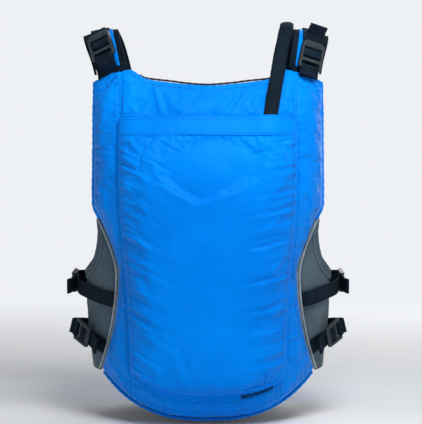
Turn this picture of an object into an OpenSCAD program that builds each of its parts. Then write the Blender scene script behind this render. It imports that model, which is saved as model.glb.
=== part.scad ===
// Foam buoyancy vest for sailing and paddling, with a back pocket for a drinking system.
// Origin: middle of the torso opening, level with the lowest point of the back hem.
// The back faces +Y, the chest faces -Y, the wearer's left is +X, and +Z is up.

/* [Torso opening] */
// Half width of the opening at the hem
hem_opening_w = 150; // [148:1:152]
// Half width of the opening at the waist
waist_half_w = 163; // [161:1:165]
// Half width of the opening at the chest
chest_half_w = 174; // [172:1:176]
// Half depth of the opening
torso_half_d = 106; // [104:1:108]
// How far the upper edges lean in towards the neck
upper_lean = 34; // [32:1:36]

/* [Back panel] */
// Height of the back neckline above the lowest point of the hem
neck_z = 431; // [429:1:433]
// Rise of the hem from its middle to its corners
hem_rise = 58; // [54:1:60]
// Half width of the back at the hem corners
hem_half_w = 140; // [138:1:141]
// Half width of the back at the waist
waist_edge = 116; // [115:1:118]
// Half width of the back between the armholes
armhole_edge = 151; // [149:1:152]
// Foam thickness in the middle of the front and the back
foam_t = 28; // [24:1:30]

/* [Back pocket] */
// Height of the pocket mouth
mouth_z = 388; // [384:1:390]
// Height of the stretch band that edges the mouth
mouth_band_h = 26; // [20:1:28]
// Room between the pocket and the back shell
pocket_room = 15; // [15:1:17]

/* [Straps] */
// Distance of each shoulder strap from the middle
strap_x = 128; // [127:1:129]
// Width of the shoulder pads
pad_w = 48; // [44:1:49]
// Width of the shoulder webbing
shoulder_web_w = 25; // [24:1:26]
// Width of the side webbing
side_web_w = 20; // [19:1:21]
// Height of the top of the shoulder arch above its feet
arch_h = 66; // [64:1:68]

/* [Hidden] */
$fn = 48;

shell_blue = "#0f96f5";
panel_grey = "#3f4b55";
strap_black = "#16202a";
buckle_black = "#2a343a";
piping_grey = "#97a5a5";
foam_colour = "#e6dfc8";
lining_colour = "#20303e";
water_clear = "#a8d4e8";

section_power = 2.4;
arch_power = 2.8;
arch_z = 442;
arch_y = 66;
lining_t = 1.2;
shell_t = 1.4;
shell_gap = 4.2;
web_t = 1.4;
lens_power = 6;
columns = 16;
rows = 12;

// Sums and vectors
function lerp(a, b, t) = a + (b - a) * t;
function limit(t) = min(1, max(0, t));
function ease(t) = t * t * (3 - 2 * t);
function ramp(v, from, to) = ease(limit((v - from) / (to - from)));
function unit(v) = v / norm(v);
function square_to(v, t) = unit(v - (v * t) * t);
function spread(count) = [for (i = [0:count]) sin(lerp(-90, 90, i / count))];
function swell(q) = pow(1 - pow(min(1, abs(q)), lens_power), 0.5);
function signed_pow(v, e) = sign(v) * pow(abs(v), e);

// Torso section: half width and half depth at height z
function half_w(z) =
    hem_opening_w + (waist_half_w - hem_opening_w) * ramp(z, 0, 150)
    + (chest_half_w - waist_half_w) * ramp(z, 150, 300);
function half_d(z) = torso_half_d - upper_lean * ramp(z, 290, 500);

// Point over x and z on the back (face 1) or the chest (face -1), h outside the torso
function skin(x, z, h, face) =
    let (q = min(1, abs(x) / (half_w(z) + h)))
    [x, face * (half_d(z) + h) * pow(1 - pow(q, section_power), 1 / section_power), z];

// Point at an angle round the torso, counted from the middle of the back towards +X
function around(angle, z, h) = [
    (half_w(z) + h) * signed_pow(sin(angle), 2 / section_power),
    (half_d(z) + h) * signed_pow(cos(angle), 2 / section_power),
    z
];
function back_angle(x, z, h) = asin(pow(min(1, x / (half_w(z) + h)), section_power / 2));

// Back outline
function edge_x(z) =
    z < 187
        ? waist_edge + (hem_half_w - waist_edge) * pow(limit((187 - z) / 129), 2)
        : waist_edge + (armhole_edge - waist_edge) * pow(limit((z - 187) / 86), 1.4);
function hem_z(x) = hem_rise * pow(abs(x) / hem_half_w, 2.7);
function top_z(x) =
    neck_z + 9 * pow(limit(abs(x) / 82), 1.5) + 13 * ramp(abs(x), 80, 106) - 14 * ramp(abs(x), 112, 160);

// Chest outline
front_hem_z = 14;
front_neck_z = 372;
front_edge_w = 142;
function front_edge_x(z) = front_edge_w - 16 * sin(180 * limit((z - 200) / 220));
function front_low_z(x) = front_hem_z + 44 * pow(abs(x) / front_edge_w, 2.7);
function front_top_z(x) =
    front_neck_z + 78 * ramp(abs(x), 30, 100) - 12 * ramp(abs(x), 112, 160);

// Place on a panel from its own u across (-1 to 1) and v up (0 to 1)
function back_z(u, v) = lerp(hem_z(u * hem_half_w), top_z(u * armhole_edge), v);
function back_spot(u, v) = [u * edge_x(back_z(1, v)), back_z(u, v)];
function front_z(u, v) = lerp(front_low_z(u * front_edge_w), front_top_z(u * front_edge_w), v);
function front_spot(u, v) = [u * front_edge_x(front_z(1, v)), front_z(u, v)];

// The reverse: v on a panel from x and z, by repeated guesses
function back_v(x, z, v = 0.5, left = 4) =
    left == 0 ? v
    : let (u = x / edge_x(back_z(1, v)), low = back_z(u, 0))
        back_v(x, z, limit((z - low) / (back_z(u, 1) - low)), left - 1);
function front_v(x, z, v = 0.5, left = 4) =
    left == 0 ? v
    : let (u = x / front_edge_x(front_z(1, v)), low = front_z(u, 0))
        front_v(x, z, limit((z - low) / (front_z(u, 1) - low)), left - 1);
function back_swell(x, z) =
    let (v = back_v(x, z))
    swell(x / edge_x(back_z(1, v))) * swell(2 * v - 1);
function front_swell(x, z) =
    let (v = front_v(x, z))
    swell(x / front_edge_x(front_z(1, v))) * swell(2 * v - 1);
function back_shell_h(x, z) = shell_gap + foam_t * back_swell(x, z);
function front_shell_h(x, z) = shell_gap + foam_t * front_swell(x, z);

// Quad as two triangles
function quad(a, b, c, d) = [[a, b, c], [a, c, d]];

// Closed slab between two grids of points; columns run clockwise seen from above
module slab(outer, inner) {
    n = len(outer);
    m = len(outer[0]);
    half = n * m;
    last = n - 1;
    function at(layer, r, c) = layer * half + r * m + c;
    skins = [for (r = [0:n - 2]) for (c = [0:m - 2]) each concat(
        quad(at(0, r, c), at(0, r, c + 1), at(0, r + 1, c + 1), at(0, r + 1, c)),
        quad(at(1, r, c), at(1, r + 1, c), at(1, r + 1, c + 1), at(1, r, c + 1)))];
    ends = [for (c = [0:m - 2]) each concat(
        quad(at(0, 0, c), at(1, 0, c), at(1, 0, c + 1), at(0, 0, c + 1)),
        quad(at(0, last, c), at(0, last, c + 1), at(1, last, c + 1), at(1, last, c)))];
    sides = [for (r = [0:n - 2]) each concat(
        quad(at(0, r, 0), at(0, r + 1, 0), at(1, r + 1, 0), at(1, r, 0)),
        quad(at(0, r, m - 1), at(1, r, m - 1), at(1, r + 1, m - 1), at(0, r + 1, m - 1)))];
    points = concat([for (row = outer) each row], [for (row = inner) each row]);
    polyhedron(points = points, faces = concat(skins, ends, sides));
}

// Solid swept through rings of points
module sweep(rings) {
    k = len(rings[0]);
    n = len(rings);
    sides = [for (i = [0:n - 2]) for (j = [0:k - 1]) each
        quad(i * k + j, (i + 1) * k + j, (i + 1) * k + (j + 1) % k, i * k + (j + 1) % k)];
    first = [for (j = [0:k - 1]) j];
    end = [for (j = [k - 1:-1:0]) (n - 1) * k + j];
    polyhedron(points = [for (ring = rings) each ring], faces = concat(sides, [first, end]));
}

// Hollow solid swept between outer and inner rings of points
module hollow_sweep(outer, inner) {
    k = len(outer[0]);
    n = len(outer);
    half = n * k;
    walls = [for (i = [0:n - 2]) for (j = [0:k - 1]) let (
        a = i * k + j, b = (i + 1) * k + j, c = (i + 1) * k + (j + 1) % k, d = i * k + (j + 1) % k)
        each concat(quad(a, b, c, d), quad(half + a, half + d, half + c, half + b))];
    top = (n - 1) * k;
    rims = [for (j = [0:k - 1]) let (e = (j + 1) % k) each concat(
        quad(j, e, half + e, half + j),
        quad(top + j, half + top + j, half + top + e, top + e))];
    points = concat([for (ring = outer) each ring], [for (ring = inner) each ring]);
    polyhedron(points = points, faces = concat(walls, rims));
}

// Frame of reference on a strap: [point, along, across, outwards]
function frame_of(before, point, after, across) =
    let (along = unit(after - before), side = square_to(across, along))
    [point, along, side, cross(along, side)];
function lifted(f, h) = [f[0] + h * f[3], f[1], f[2], f[3]];
function shifted(f, d) = [f[0] + d * f[1], f[1], f[2], f[3]];

// Rings of a flat strap and of an oval hose on a frame of reference
function strap_ring(f, w, low, high) = [
    f[0] - f[2] * w / 2 + f[3] * low,
    f[0] + f[2] * w / 2 + f[3] * low,
    f[0] + f[2] * w / 2 + f[3] * high,
    f[0] - f[2] * w / 2 + f[3] * high
];
function oval_ring(f, rx, rz, k) =
    [for (i = [0:k - 1]) let (a = 360 * i / k) f[0] + f[2] * rx * cos(a) + f[3] * rz * sin(a)];

module on_frame(f) {
    multmatrix([
        [f[1].x, f[2].x, f[3].x, f[0].x],
        [f[1].y, f[2].y, f[3].y, f[0].y],
        [f[1].z, f[2].z, f[3].z, f[0].z],
        [0, 0, 0, 1]
    ])
        children();
}

// Outline of a band of thickness t that follows a line of points
function side_of(line, i) =
    let (
        back = line[max(0, i - 1)],
        next = line[min(len(line) - 1, i + 1)],
        d = unit(next - back)
    )
    [-d.y, d.x];
function band(line, t) = concat(
    [for (i = [0:len(line) - 1]) line[i] + side_of(line, i) * t / 2],
    [for (i = [len(line) - 1:-1:0]) line[i] - side_of(line, i) * t / 2]
);

// Slab over part of the back or the chest; low and high give h from x and z
module back_slab(us, vs, spot, low, high) {
    outer = [for (v = vs) [for (u = us) let (p = spot(u, v)) skin(p.x, p.y, high(u, v, p), 1)]];
    inner = [for (v = vs) [for (u = us) let (p = spot(u, v)) skin(p.x, p.y, low(u, v, p), 1)]];
    slab(outer, inner);
}
module front_slab(us, vs, spot, low, high) {
    outer = [for (v = vs) [for (u = us) let (p = spot(-u, v)) skin(p.x, p.y, high(u, v, p), -1)]];
    inner = [for (v = vs) [for (u = us) let (p = spot(-u, v)) skin(p.x, p.y, low(u, v, p), -1)]];
    slab(outer, inner);
}

us = spread(columns);
vs = [for (q = spread(rows)) (q + 1) / 2];
flat_vs = [for (i = [0:rows]) i / rows];

// Layers of the back
module back_lining() {
    color(lining_colour)
        back_slab(us, flat_vs, function(u, v) back_spot(u, v),
            function(u, v, p) 0, function(u, v, p) lining_t);
}

foam_inset = 0.94;
function foam_v(v) = lerp(1 - foam_inset, foam_inset, v);
foam_low_h = 3;
function foam_h(u, v) = 5 + (foam_t - 4) * swell(u) * swell(2 * v - 1);

module back_foam() {
    color(foam_colour)
        back_slab(us, vs, function(u, v) back_spot(foam_inset * u, foam_v(v)),
            function(u, v, p) foam_low_h, function(u, v, p) foam_h(u, v));
}

module back_shell() {
    color(shell_blue)
        back_slab(us, vs, function(u, v) back_spot(u, v),
            function(u, v, p) shell_gap + foam_t * swell(u) * swell(2 * v - 1),
            function(u, v, p) shell_gap + shell_t + foam_t * swell(u) * swell(2 * v - 1));
}

// Back pocket
pocket_t = 1.2;
pocket_gap = 1.4;
pocket_rise = 32;
hose_x = 80;
function seam_x(z) = lerp(99, 114, ramp(z, 60, 330));
function pocket_low_z(x) = hem_z(x) + pocket_rise;
function pocket_spot(u, v, top) =
    let (x = u * seam_x(lerp(2 * pocket_rise, top, v)))
    [x, lerp(pocket_low_z(x), top, v)];
function pocket_open(z) = z < 200 ? swell((200 - z) / 170) : 1 - 0.6 * ramp(z, 330, 388);
function hose_bump(x, z) = 7 * exp(-pow((x + hose_x) / 24, 2)) * ramp(z, 330, 384);
function pocket_h(x, z) =
    back_shell_h(x, z) + shell_t + pocket_gap + hose_bump(x, z)
    + pocket_room * swell(x / (seam_x(z) + 1)) * pocket_open(z);

module back_pocket() {
    color(shell_blue)
        back_slab(us, vs, function(u, v) pocket_spot(u, v, mouth_z - 2),
            function(u, v, p) pocket_h(p.x, p.y),
            function(u, v, p) pocket_h(p.x, p.y) + pocket_t);
}

module pocket_mouth_band() {
    low_z = mouth_z - mouth_band_h;
    color(shell_blue)
        back_slab(us, [0, 0.5, 1],
            function(u, v) [u * seam_x(mouth_z), lerp(low_z, mouth_z, v)],
            function(u, v, p) pocket_h(p.x, p.y) + pocket_t + 0.8,
            function(u, v, p) pocket_h(p.x, p.y) + pocket_t + 2);
}

module pocket_drain_mesh() {
    color(strap_black)
        back_slab([for (i = [0:4]) i / 4], [0, 1],
            function(u, v) let (x = lerp(-84, -42, u)) [x, pocket_low_z(x) - lerp(7, 1.5, v)],
            function(u, v, p) back_shell_h(p.x, p.y) + shell_t + 1,
            function(u, v, p) back_shell_h(p.x, p.y) + shell_t + 2);
}

// Drinking system
bladder_t = 6;
cap_z = 300;
cap_r = 18;
cap_t = 5;

module water_bladder() {
    color(water_clear)
        back_slab(us, vs,
            function(u, v) [60 * u, lerp(84, 336, v)],
            function(u, v, p) back_shell_h(p.x, p.y) + shell_t + 1.2,
            function(u, v, p) back_shell_h(p.x, p.y) + shell_t + 2.4
                + bladder_t * pow(swell(u) * swell(2 * v - 1), 0.6));
}

function bladder_face_y(z) =
    skin(0, z, back_shell_h(0, z) + shell_t + 2.4 + bladder_t, 1).y;

module bladder_cap() {
    color(strap_black)
        translate([0, bladder_face_y(cap_z) + 0.4, cap_z])
            rotate([-90, 0, 0]) {
                difference() {
                    cylinder(r = cap_r, h = cap_t);
                    for (i = [0:11])
                        rotate(30 * i)
                            translate([cap_r + 0.6, 0, -1])
                                cylinder(r = 2, h = cap_t + 2);
                    translate([0, 0, -1])
                        cylinder(r = cap_r - 3, h = 3);
                }
            }
}

module bladder_hanger() {
    hanger = function(u, v) [7 * u, lerp(338, 380, v)];
    color(strap_black)
        back_slab([-1, 0, 1], flat_vs, hanger,
            function(u, v, p) back_shell_h(p.x, p.y) + shell_t + 0.9,
            function(u, v, p) back_shell_h(p.x, p.y) + shell_t + 2.1);
}

// Shoulder arch on the wearer's left; lean moves its top outwards
function arch_point(t, lean) = [
    strap_x + lean * sin(t),
    arch_y * signed_pow(cos(t), 2 / arch_power),
    arch_z + arch_h * signed_pow(sin(t), 2 / arch_power)
];
function arch_across(t) = [1, -0.45 * cos(t), -0.2 * sin(t)];
function arch_frame(t, lean) =
    frame_of(arch_point(t - 1, lean), arch_point(t, lean), arch_point(t + 1, lean), arch_across(t));

left_lean = 18;
right_lean = 12;
left_bar_t = 15;
right_bar_t = 5;
pad_t = 7;

module shoulder_pad(lean) {
    bevel = 2;
    rings = [for (t = [6.6:8.4:175]) let (f = arch_frame(t, lean), e = pad_w / 2) [
        f[0] - f[2] * e,
        f[0] - f[2] * (e - bevel) - f[3] * pad_t / 2,
        f[0] + f[2] * (e - bevel) - f[3] * pad_t / 2,
        f[0] + f[2] * e,
        f[0] + f[2] * (e - bevel) + f[3] * pad_t / 2,
        f[0] - f[2] * (e - bevel) + f[3] * pad_t / 2
    ]];
    color(strap_black)
        sweep(rings);
}

// Ladder-lock buckle: the strap runs along x, the anchor bar lies on y at x = 0
bar_r = 2;
rail_w = 4;
lock_l = 34;

module ladder_lock(web_w) {
    inner = web_w + 1.6;
    outer = inner + 2 * rail_w;
    color(buckle_black) {
        for (side = [-1, 1])
            translate([0, side * (inner + rail_w) / 2, 0]) {
                translate([0, -rail_w / 2, -2.2])
                    cube([lock_l - 4, rail_w, 4.4]);
                rotate([90, 0, 0])
                    cylinder(r = 2.2, h = rail_w, center = true);
                translate([lock_l - 4, 0, 1])
                    rotate([90, 0, 0])
                        cylinder(r = 3.2, h = rail_w, center = true);
            }
        rotate([90, 0, 0])
            cylinder(r = bar_r, h = outer - 1, center = true);
        translate([8, -inner / 2 - 1, -1.4])
            cube([4, inner + 2, 2.8]);
        translate([17.5, -inner / 2 - 1, -1.6])
            cube([4.5, inner + 2, 3.2]);
        translate([27, -inner / 2 - 1, 0.6])
            cube([7, inner + 2, 2.6]);
        translate([lock_l, 0, 2.4])
            rotate([90, 0, 0])
                cylinder(r = 1.8, h = inner + 2, center = true);
    }
}

// Webbing that turns over the grip bar of a ladder lock and runs on as a free tail
module lock_tail(web_w, tail_l, tail_rise) {
    line = [
        [14.8, -1.9], [14.8, 1.2], [16.2, 2.7], [23.2, 2.7], [24.6, 1.2],
        [25.6, -0.5], [36, -0.5], [36 + tail_l / 2, tail_rise / 4], [36 + tail_l, tail_rise]
    ];
    color(strap_black)
        rotate([90, 0, 0])
            linear_extrude(web_w, center = true)
                polygon(band(line, web_t));
}

// Loop of webbing round the anchor bar
module anchor_loop(web_w) {
    rotate([90, 0, 0])
        linear_extrude(web_w, center = true)
            difference() {
                union() {
                    circle(r = bar_r + 2);
                    translate([-9, -1.5])
                        square([9, 3]);
                }
                circle(r = bar_r + 0.4);
            }
}

// Straight stretch of the arch that carries the buckle
lock_lift = 11.6;
function lock_frame(bar_t, lean) =
    let (
        start = arch_point(bar_t, lean),
        end = arch_point(bar_t + 27, lean),
        f = frame_of(start, start, end, arch_across(bar_t))
    )
    lifted(f, lock_lift);

module shoulder_webbing(bar_t, lean) {
    lock = lock_frame(bar_t, lean);
    over_pad = [for (t = [bar_t + 40:9:168]) strap_ring(arch_frame(t, lean), shoulder_web_w, 5.4, 6.8)];
    rings = concat(
        [for (d = [13, 26, 38]) strap_ring(shifted(lock, d), shoulder_web_w, -4.2, -2.8)],
        over_pad,
        [for (z = [440, 430, 420]) chest_ring(strap_x - 4, z, shoulder_web_w)]
    );
    color(strap_black)
        sweep(rings);
}

// Ring of a strap that runs down the chest over the shell
function chest_ring(x, z, w) =
    let (
        low = front_shell_h(x, z) + shell_t + 1.6,
        p = skin(x, z, low, -1),
        f = frame_of(skin(x, z + 4, low, -1), p, skin(x, z - 4, low, -1),
            skin(x + 5, z, low, -1) - skin(x - 5, z, low, -1))
    )
    strap_ring(f, w, 0.6, 2);

// Ring of a strap end held between the lining and the shell; up is 1 or -1 along z
function sewn_ring(x, z, w, face, up) =
    let (
        mid = lining_t + 0.9,
        p = skin(x, z, mid, face),
        f = frame_of(skin(x, z - 4 * up, mid, face), p, skin(x, z + 4 * up, mid, face),
            skin(x + 5, z, mid, face) - skin(x - 5, z, mid, face))
    )
    strap_ring(f, w, -0.6, 0.6);

module shoulder_anchor(bar_t, lean) {
    lock = lock_frame(bar_t, lean);
    color(strap_black) {
        sweep(concat(
            [for (z = [434, 443]) sewn_ring(strap_x - 2, z, shoulder_web_w, 1, 1)],
            [for (d = [-7, -4.5]) strap_ring(shifted(lock, d), shoulder_web_w, -1.2, 1.2)]
        ));
        on_frame(lock)
            anchor_loop(shoulder_web_w);
    }
}

module shoulder_buckle(bar_t, lean) {
    on_frame(lock_frame(bar_t, lean))
        ladder_lock(shoulder_web_w);
}

module shoulder_tail(bar_t, lean, tail_l, tail_rise) {
    on_frame(lock_frame(bar_t, lean))
        lock_tail(shoulder_web_w, tail_l, tail_rise);
}

// Side adjusters on the wearer's left: [height at the back, height at the bar, bar angle, stand-off]
upper_side = [150, 172, 103, 13];
lower_side = [87, 108, 80, 9];
strap_h = 5.2;

function side_z(s, spec) = lerp(spec[0], spec[1], s);
function side_start(spec) = back_angle(edge_x(spec[0]) + 5, spec[0], strap_h);
function side_point(s, spec) =
    let (z = side_z(s, spec), a = lerp(side_start(spec), spec[2], s))
    around(a, z, strap_h + spec[3] * ramp(s, 0.3, 0.95));
function side_frame(s, spec) =
    frame_of(side_point(s + 0.02, spec), side_point(s, spec), side_point(s - 0.02, spec), [0, 0, 1]);
function lock_end(spec) = 1 - 38 / norm(side_point(1, spec) - side_point(0, spec));
function side_lock(spec) =
    let (
        start = side_point(1, spec),
        end = side_point(lock_end(spec), spec),
        f = frame_of(start, start, end, [0, 0, 1])
    )
    lifted(f, 6.4);

module side_strap(spec) {
    lock = side_lock(spec);
    rings = concat(
        [for (d = [13, 24, 36]) strap_ring(shifted(lock, d), side_web_w, -4.2, -2.8)],
        [for (i = [5:-1:0]) let (s = (lock_end(spec) - 0.1) * i / 5)
            strap_ring(side_frame(s, spec), side_web_w, 0.7, 2.1)]
    );
    color(strap_black)
        sweep(rings);
}

module side_anchor(spec) {
    lock = side_lock(spec);
    reach = 118;
    tie = function(a) let (p = around(a, spec[1], 1), h = front_shell_h(p.x, spec[1]) + shell_t + 3)
        frame_of(skin(p.x - 4, spec[1], h, -1), skin(p.x, spec[1], h, -1),
            skin(p.x + 1, spec[1], h, -1), [0, 0, 1]);
    wrap = function(a) frame_of(around(a + 1, spec[1], 7), around(a, spec[1], 7),
        around(a - 1, spec[1], 7), [0, 0, 1]);
    color(strap_black) {
        sweep(concat(
            [for (a = [reach + 10, reach + 4]) strap_ring(tie(a), side_web_w, 0.6, 2)],
            [for (a = [reach - 9:-6:spec[2] + 12]) strap_ring(wrap(a), side_web_w, 0, 1.4)],
            [for (d = [-7, -4.5]) strap_ring(shifted(lock, d), side_web_w, -1.2, 1.2)]
        ));
        on_frame(lock)
            anchor_loop(side_web_w);
    }
}

module side_buckle(spec) {
    on_frame(side_lock(spec))
        ladder_lock(side_web_w);
}

module side_tail(spec) {
    on_frame(side_lock(spec))
        lock_tail(side_web_w, 26, 5);
}

module each_side() {
    children();
    mirror([1, 0, 0])
        children();
}

module side_straps() {
    each_side() {
        side_strap(upper_side);
        side_strap(lower_side);
    }
}

module side_anchors() {
    each_side() {
        side_anchor(upper_side);
        side_anchor(lower_side);
    }
}

// Grey stretch panel between the back and the chest on the wearer's left
armhole_low_z = 186;
function side_top_z(u) =
    u < 0.5 ? armhole_low_z + 72 * pow(1 - 2 * u, 2.4) : armhole_low_z + 40 * pow(2 * u - 1, 2.4);
function side_low_z(u) = hem_rise - 4 + 6 * u * (1 - u);
function side_spot(u, v) =
    let (
        z = lerp(side_low_z(u), side_top_z(u), v),
        from = back_angle(edge_x(z) + 2.4, z, 2),
        to = 180 - back_angle(front_edge_x(z) + 1.6, z, 2)
    )
    [lerp(from, to, u), z];

module side_panel() {
    steps = 8;
    grid = function(h) [for (j = [0:steps]) [for (i = [0:steps])
        let (p = side_spot(i / steps, j / steps)) around(p.x, p.y, h)]];
    color(panel_grey)
        slab(grid(3), grid(0.8));
}

// Round cord that follows a list of points; across is any direction that the cord never takes
module cord(line, r, across) {
    last = len(line) - 1;
    sides = 6;
    rings = [for (i = [0:last])
        oval_ring(frame_of(line[max(0, i - 1)], line[i], line[min(last, i + 1)], across), r, r, sides)];
    sweep(rings);
}

upright_across = [1.3, 0.2, 1.1];
level_across = [0, 1, 0.1];

module back_piping() {
    line = [for (z = [hem_rise:11:256]) skin(edge_x(z) + 3.5, z, 5.4, 1)];
    color(piping_grey)
        cord(line, 1.4, upright_across);
}

module armhole_binding() {
    back_edge = [for (z = [262:16:438]) skin(edge_x(z) + 2.6, z, 2.6, 1)];
    front_edge = [for (z = [232:16:434]) skin(front_edge_x(z) + 2.6, z, 2.6, -1)];
    color(shell_blue) {
        cord(back_edge, 1.8, upright_across);
        cord(front_edge, 1.8, upright_across);
    }
}

inner_us = [for (i = [1:columns - 1]) us[i]];
neck_us = [for (i = [5:columns - 5]) us[i]];

module back_hem_binding() {
    color(shell_blue)
        cord([for (u = inner_us) let (p = back_spot(u, 0)) skin(p.x, p.y - 3.4, 2.8, 1)], 2, level_across);
}

module back_neck_binding() {
    color(lining_colour)
        cord([for (u = neck_us) let (p = back_spot(u, 1)) skin(p.x, p.y + 2.4, 2.4, 1)], 1.7, level_across);
}

// Layers of the chest
module front_lining() {
    color(lining_colour)
        front_slab(us, flat_vs, function(u, v) front_spot(u, v),
            function(u, v, p) 0, function(u, v, p) lining_t);
}

module front_foam() {
    color(foam_colour)
        front_slab(us, vs, function(u, v) front_spot(foam_inset * u, foam_v(v)),
            function(u, v, p) foam_low_h, function(u, v, p) foam_h(u, v));
}

module front_shell() {
    color(shell_blue)
        front_slab(us, vs, function(u, v) front_spot(u, v),
            function(u, v, p) shell_gap + foam_t * swell(u) * swell(2 * v - 1),
            function(u, v, p) shell_gap + shell_t + foam_t * swell(u) * swell(2 * v - 1));
}

module front_hem_binding() {
    color(shell_blue)
        cord([for (u = inner_us) let (p = front_spot(u, 0)) skin(p.x, p.y - 3.4, 2.8, -1)], 2, level_across);
}

module front_neck_binding() {
    color(lining_colour)
        cord([for (u = neck_us) let (p = front_spot(u, 1)) skin(p.x, p.y + 3.2, 2.4, -1)], 1.7, level_across);
}

// Chest pocket and its zip; the zip is an arc about a vertical axis
front_pocket_half_w = 92;
front_pocket_low_z = 92;
front_pocket_top_z = 232;
front_pocket_room = 9;
zip_z = 210;
zip_r = 380;
zip_half_angle = 10.6;

function front_pocket_h(x, z) =
    front_shell_h(x, z) + shell_t + 1.4 + front_pocket_room * swell(x / (front_pocket_half_w + 1))
    * swell((z - (front_pocket_low_z + front_pocket_top_z) / 2) / 71);

module front_pocket() {
    color(shell_blue)
        front_slab(us, vs,
            function(u, v) [front_pocket_half_w * u, lerp(front_pocket_low_z, front_pocket_top_z, v)],
            function(u, v, p) front_pocket_h(p.x, p.y),
            function(u, v, p) front_pocket_h(p.x, p.y) + pocket_t);
}

zip_face_y = skin(0, zip_z, front_pocket_h(0, zip_z) + pocket_t, -1).y - 2.3;
zip_axis_y = zip_face_y + zip_r;

module zip_arc(half_angle) {
    translate([0, zip_axis_y, zip_z])
        rotate([0, 0, -90 - half_angle])
            rotate_extrude(angle = 2 * half_angle)
                children();
}

module zip_tapes() {
    color(strap_black)
        zip_arc(zip_half_angle)
            for (side = [-1, 1])
                translate([zip_r, side > 0 ? 0.3 : -10.3])
                    square([0.8, 10]);
}

module zip_coils() {
    color(strap_black)
        zip_arc(zip_half_angle - 0.5)
            for (side = [-1, 1])
                translate([zip_r + 2.1, side * 1.35])
                    circle(r = 1.15);
}

slider_rest = 9.2;
module on_slider() {
    translate([0, zip_axis_y, zip_z])
        rotate([0, 0, -90 - slider_rest])
            translate([zip_r, 0, 0])
                children();
}

module zip_slider() {
    color(buckle_black)
        on_slider() {
            translate([3.6, -4.5, -4])
                cube([1.4, 9, 8]);
            for (side = [-1, 1])
                translate([1.1, -4.5, side > 0 ? 2.8 : -4])
                    cube([3.5, 9, 1.2]);
            for (side = [-1, 1])
                translate([4.5, -1, side > 0 ? 2.2 : -3.2])
                    cube([3.2, 2, 1]);
        }
}

pull_pin_r = 0.8;
module zip_pull() {
    color(strap_black)
        on_slider() {
            translate([6.6, 0, 0])
                cylinder(r = pull_pin_r, h = 4.2, center = true, $fn = 32);
            translate([6, 0.6, -2])
                cube([1.2, 22, 4]);
            translate([5.6, 12, -3.5])
                cube([2, 16, 7]);
        }
}

// Drinking hose: over the wearer's right shoulder, then straight down the chest
hose_rx = 9.5;
hose_rz = 5;
tube_r = 3.4;
keeper_z = 392;
hose_end_z = 322;
hose_end_x = -98;
function hose_back(x, z) = skin(x, z, back_shell_h(x, z) + shell_t + 1.2 + hose_rz, 1);
function hose_arch(t, x) =
    let (f = arch_frame(t, right_lean))
    [x, f[0].y, f[0].z] + [0, f[3].y, f[3].z] * (pad_t / 2 + 5 + hose_rz);
hose_end_y = skin(hose_end_x, 350, front_shell_h(hose_end_x, 350) + shell_t + 1.5 + hose_rx, -1).y - 2;
hose_knots = [
    hose_back(-72, 340), hose_back(-80, 386), hose_back(-85, 416), hose_back(-89, 436) + [0, 3, 0],
    hose_arch(22, -97), hose_arch(50, -104), hose_arch(90, -108), hose_arch(130, -106),
    hose_arch(157, -101), [hose_end_x, hose_end_y + 3, 432], [hose_end_x, hose_end_y, 412],
    [hose_end_x, hose_end_y, keeper_z]
];
function curve(a, b, c, d, t) =
    0.5 * ((2 * b) + (c - a) * t + (2 * a - 5 * b + 4 * c - d) * t * t
    + (3 * b - a - 3 * c + d) * t * t * t);
function knot(i) = hose_knots[min(len(hose_knots) - 1, max(0, i))];
hose_steps = 3;
hose_line = concat(
    [for (i = [0:len(hose_knots) - 2]) for (s = [0:hose_steps - 1])
        curve(knot(i - 1), knot(i), knot(i + 1), knot(i + 2), s / hose_steps)],
    [knot(len(hose_knots) - 1)]
);
function hose_frame(i) =
    let (last = len(hose_line) - 1)
    frame_of(hose_line[max(0, i - 1)], hose_line[i], hose_line[min(last, i + 1)], [-1, 0, 0]);
function hose_rings(rx, rz, k) = [for (i = [0:len(hose_line) - 1]) oval_ring(hose_frame(i), rx, rz, k)];

module hose_sleeve() {
    color(strap_black)
        hollow_sweep(hose_rings(hose_rx, hose_rz, 10), hose_rings(4.2, 4.2, 10));
}

module drinking_tube() {
    color(water_clear)
        sweep(hose_rings(tube_r, tube_r, 6));
}

module hose_end_sleeve() {
    color(strap_black)
        translate([hose_end_x, hose_end_y, hose_end_z])
            difference() {
                cylinder(r = hose_rx - 1.5, h = keeper_z - hose_end_z - 1);
                translate([0, 0, -1])
                    cylinder(r = 4.2, h = keeper_z - hose_end_z + 1);
            }
}

module bite_valve() {
    color(piping_grey)
        translate([hose_end_x, hose_end_y, hose_end_z]) {
            translate([0, 0, -14])
                cylinder(r = 6, h = 13.4);
            translate([0, 0, -1])
                cylinder(r = 4.1, h = 12);
            translate([0, 0, -8])
                rotate([90, 0, 0]) {
                    cylinder(r = 5, h = 16);
                    translate([0, 0, 16])
                        cylinder(r = 7.5, h = 12);
                }
        }
}

module hose_keeper() {
    color(strap_black)
        translate([hose_end_x, hose_end_y, keeper_z + 9])
            difference() {
                cylinder(r = hose_rx + 2, h = 10);
                translate([0, 0, -1])
                    cylinder(r = hose_rx + 0.6, h = 12);
            }
}

// Accessory ring on the wearer's left chest: a round eye under a slot, hung on a webbing loop
ring_x = 98;
ring_z = 372;
ring_in_r = 8.5;
ring_out_r = 11.5;
ring_t = 3;
ring_bar_r = 1.5;
ring_bar_up = 16;
slot_w = 10.5;
slot_reach = 4.2;
loop_w = 8;
loop_in_r = 1.9;
loop_out_r = 3.1;
ring_y = skin(ring_x, ring_z, front_shell_h(ring_x, ring_z) + shell_t + 5.4, -1).y - 3;

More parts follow.
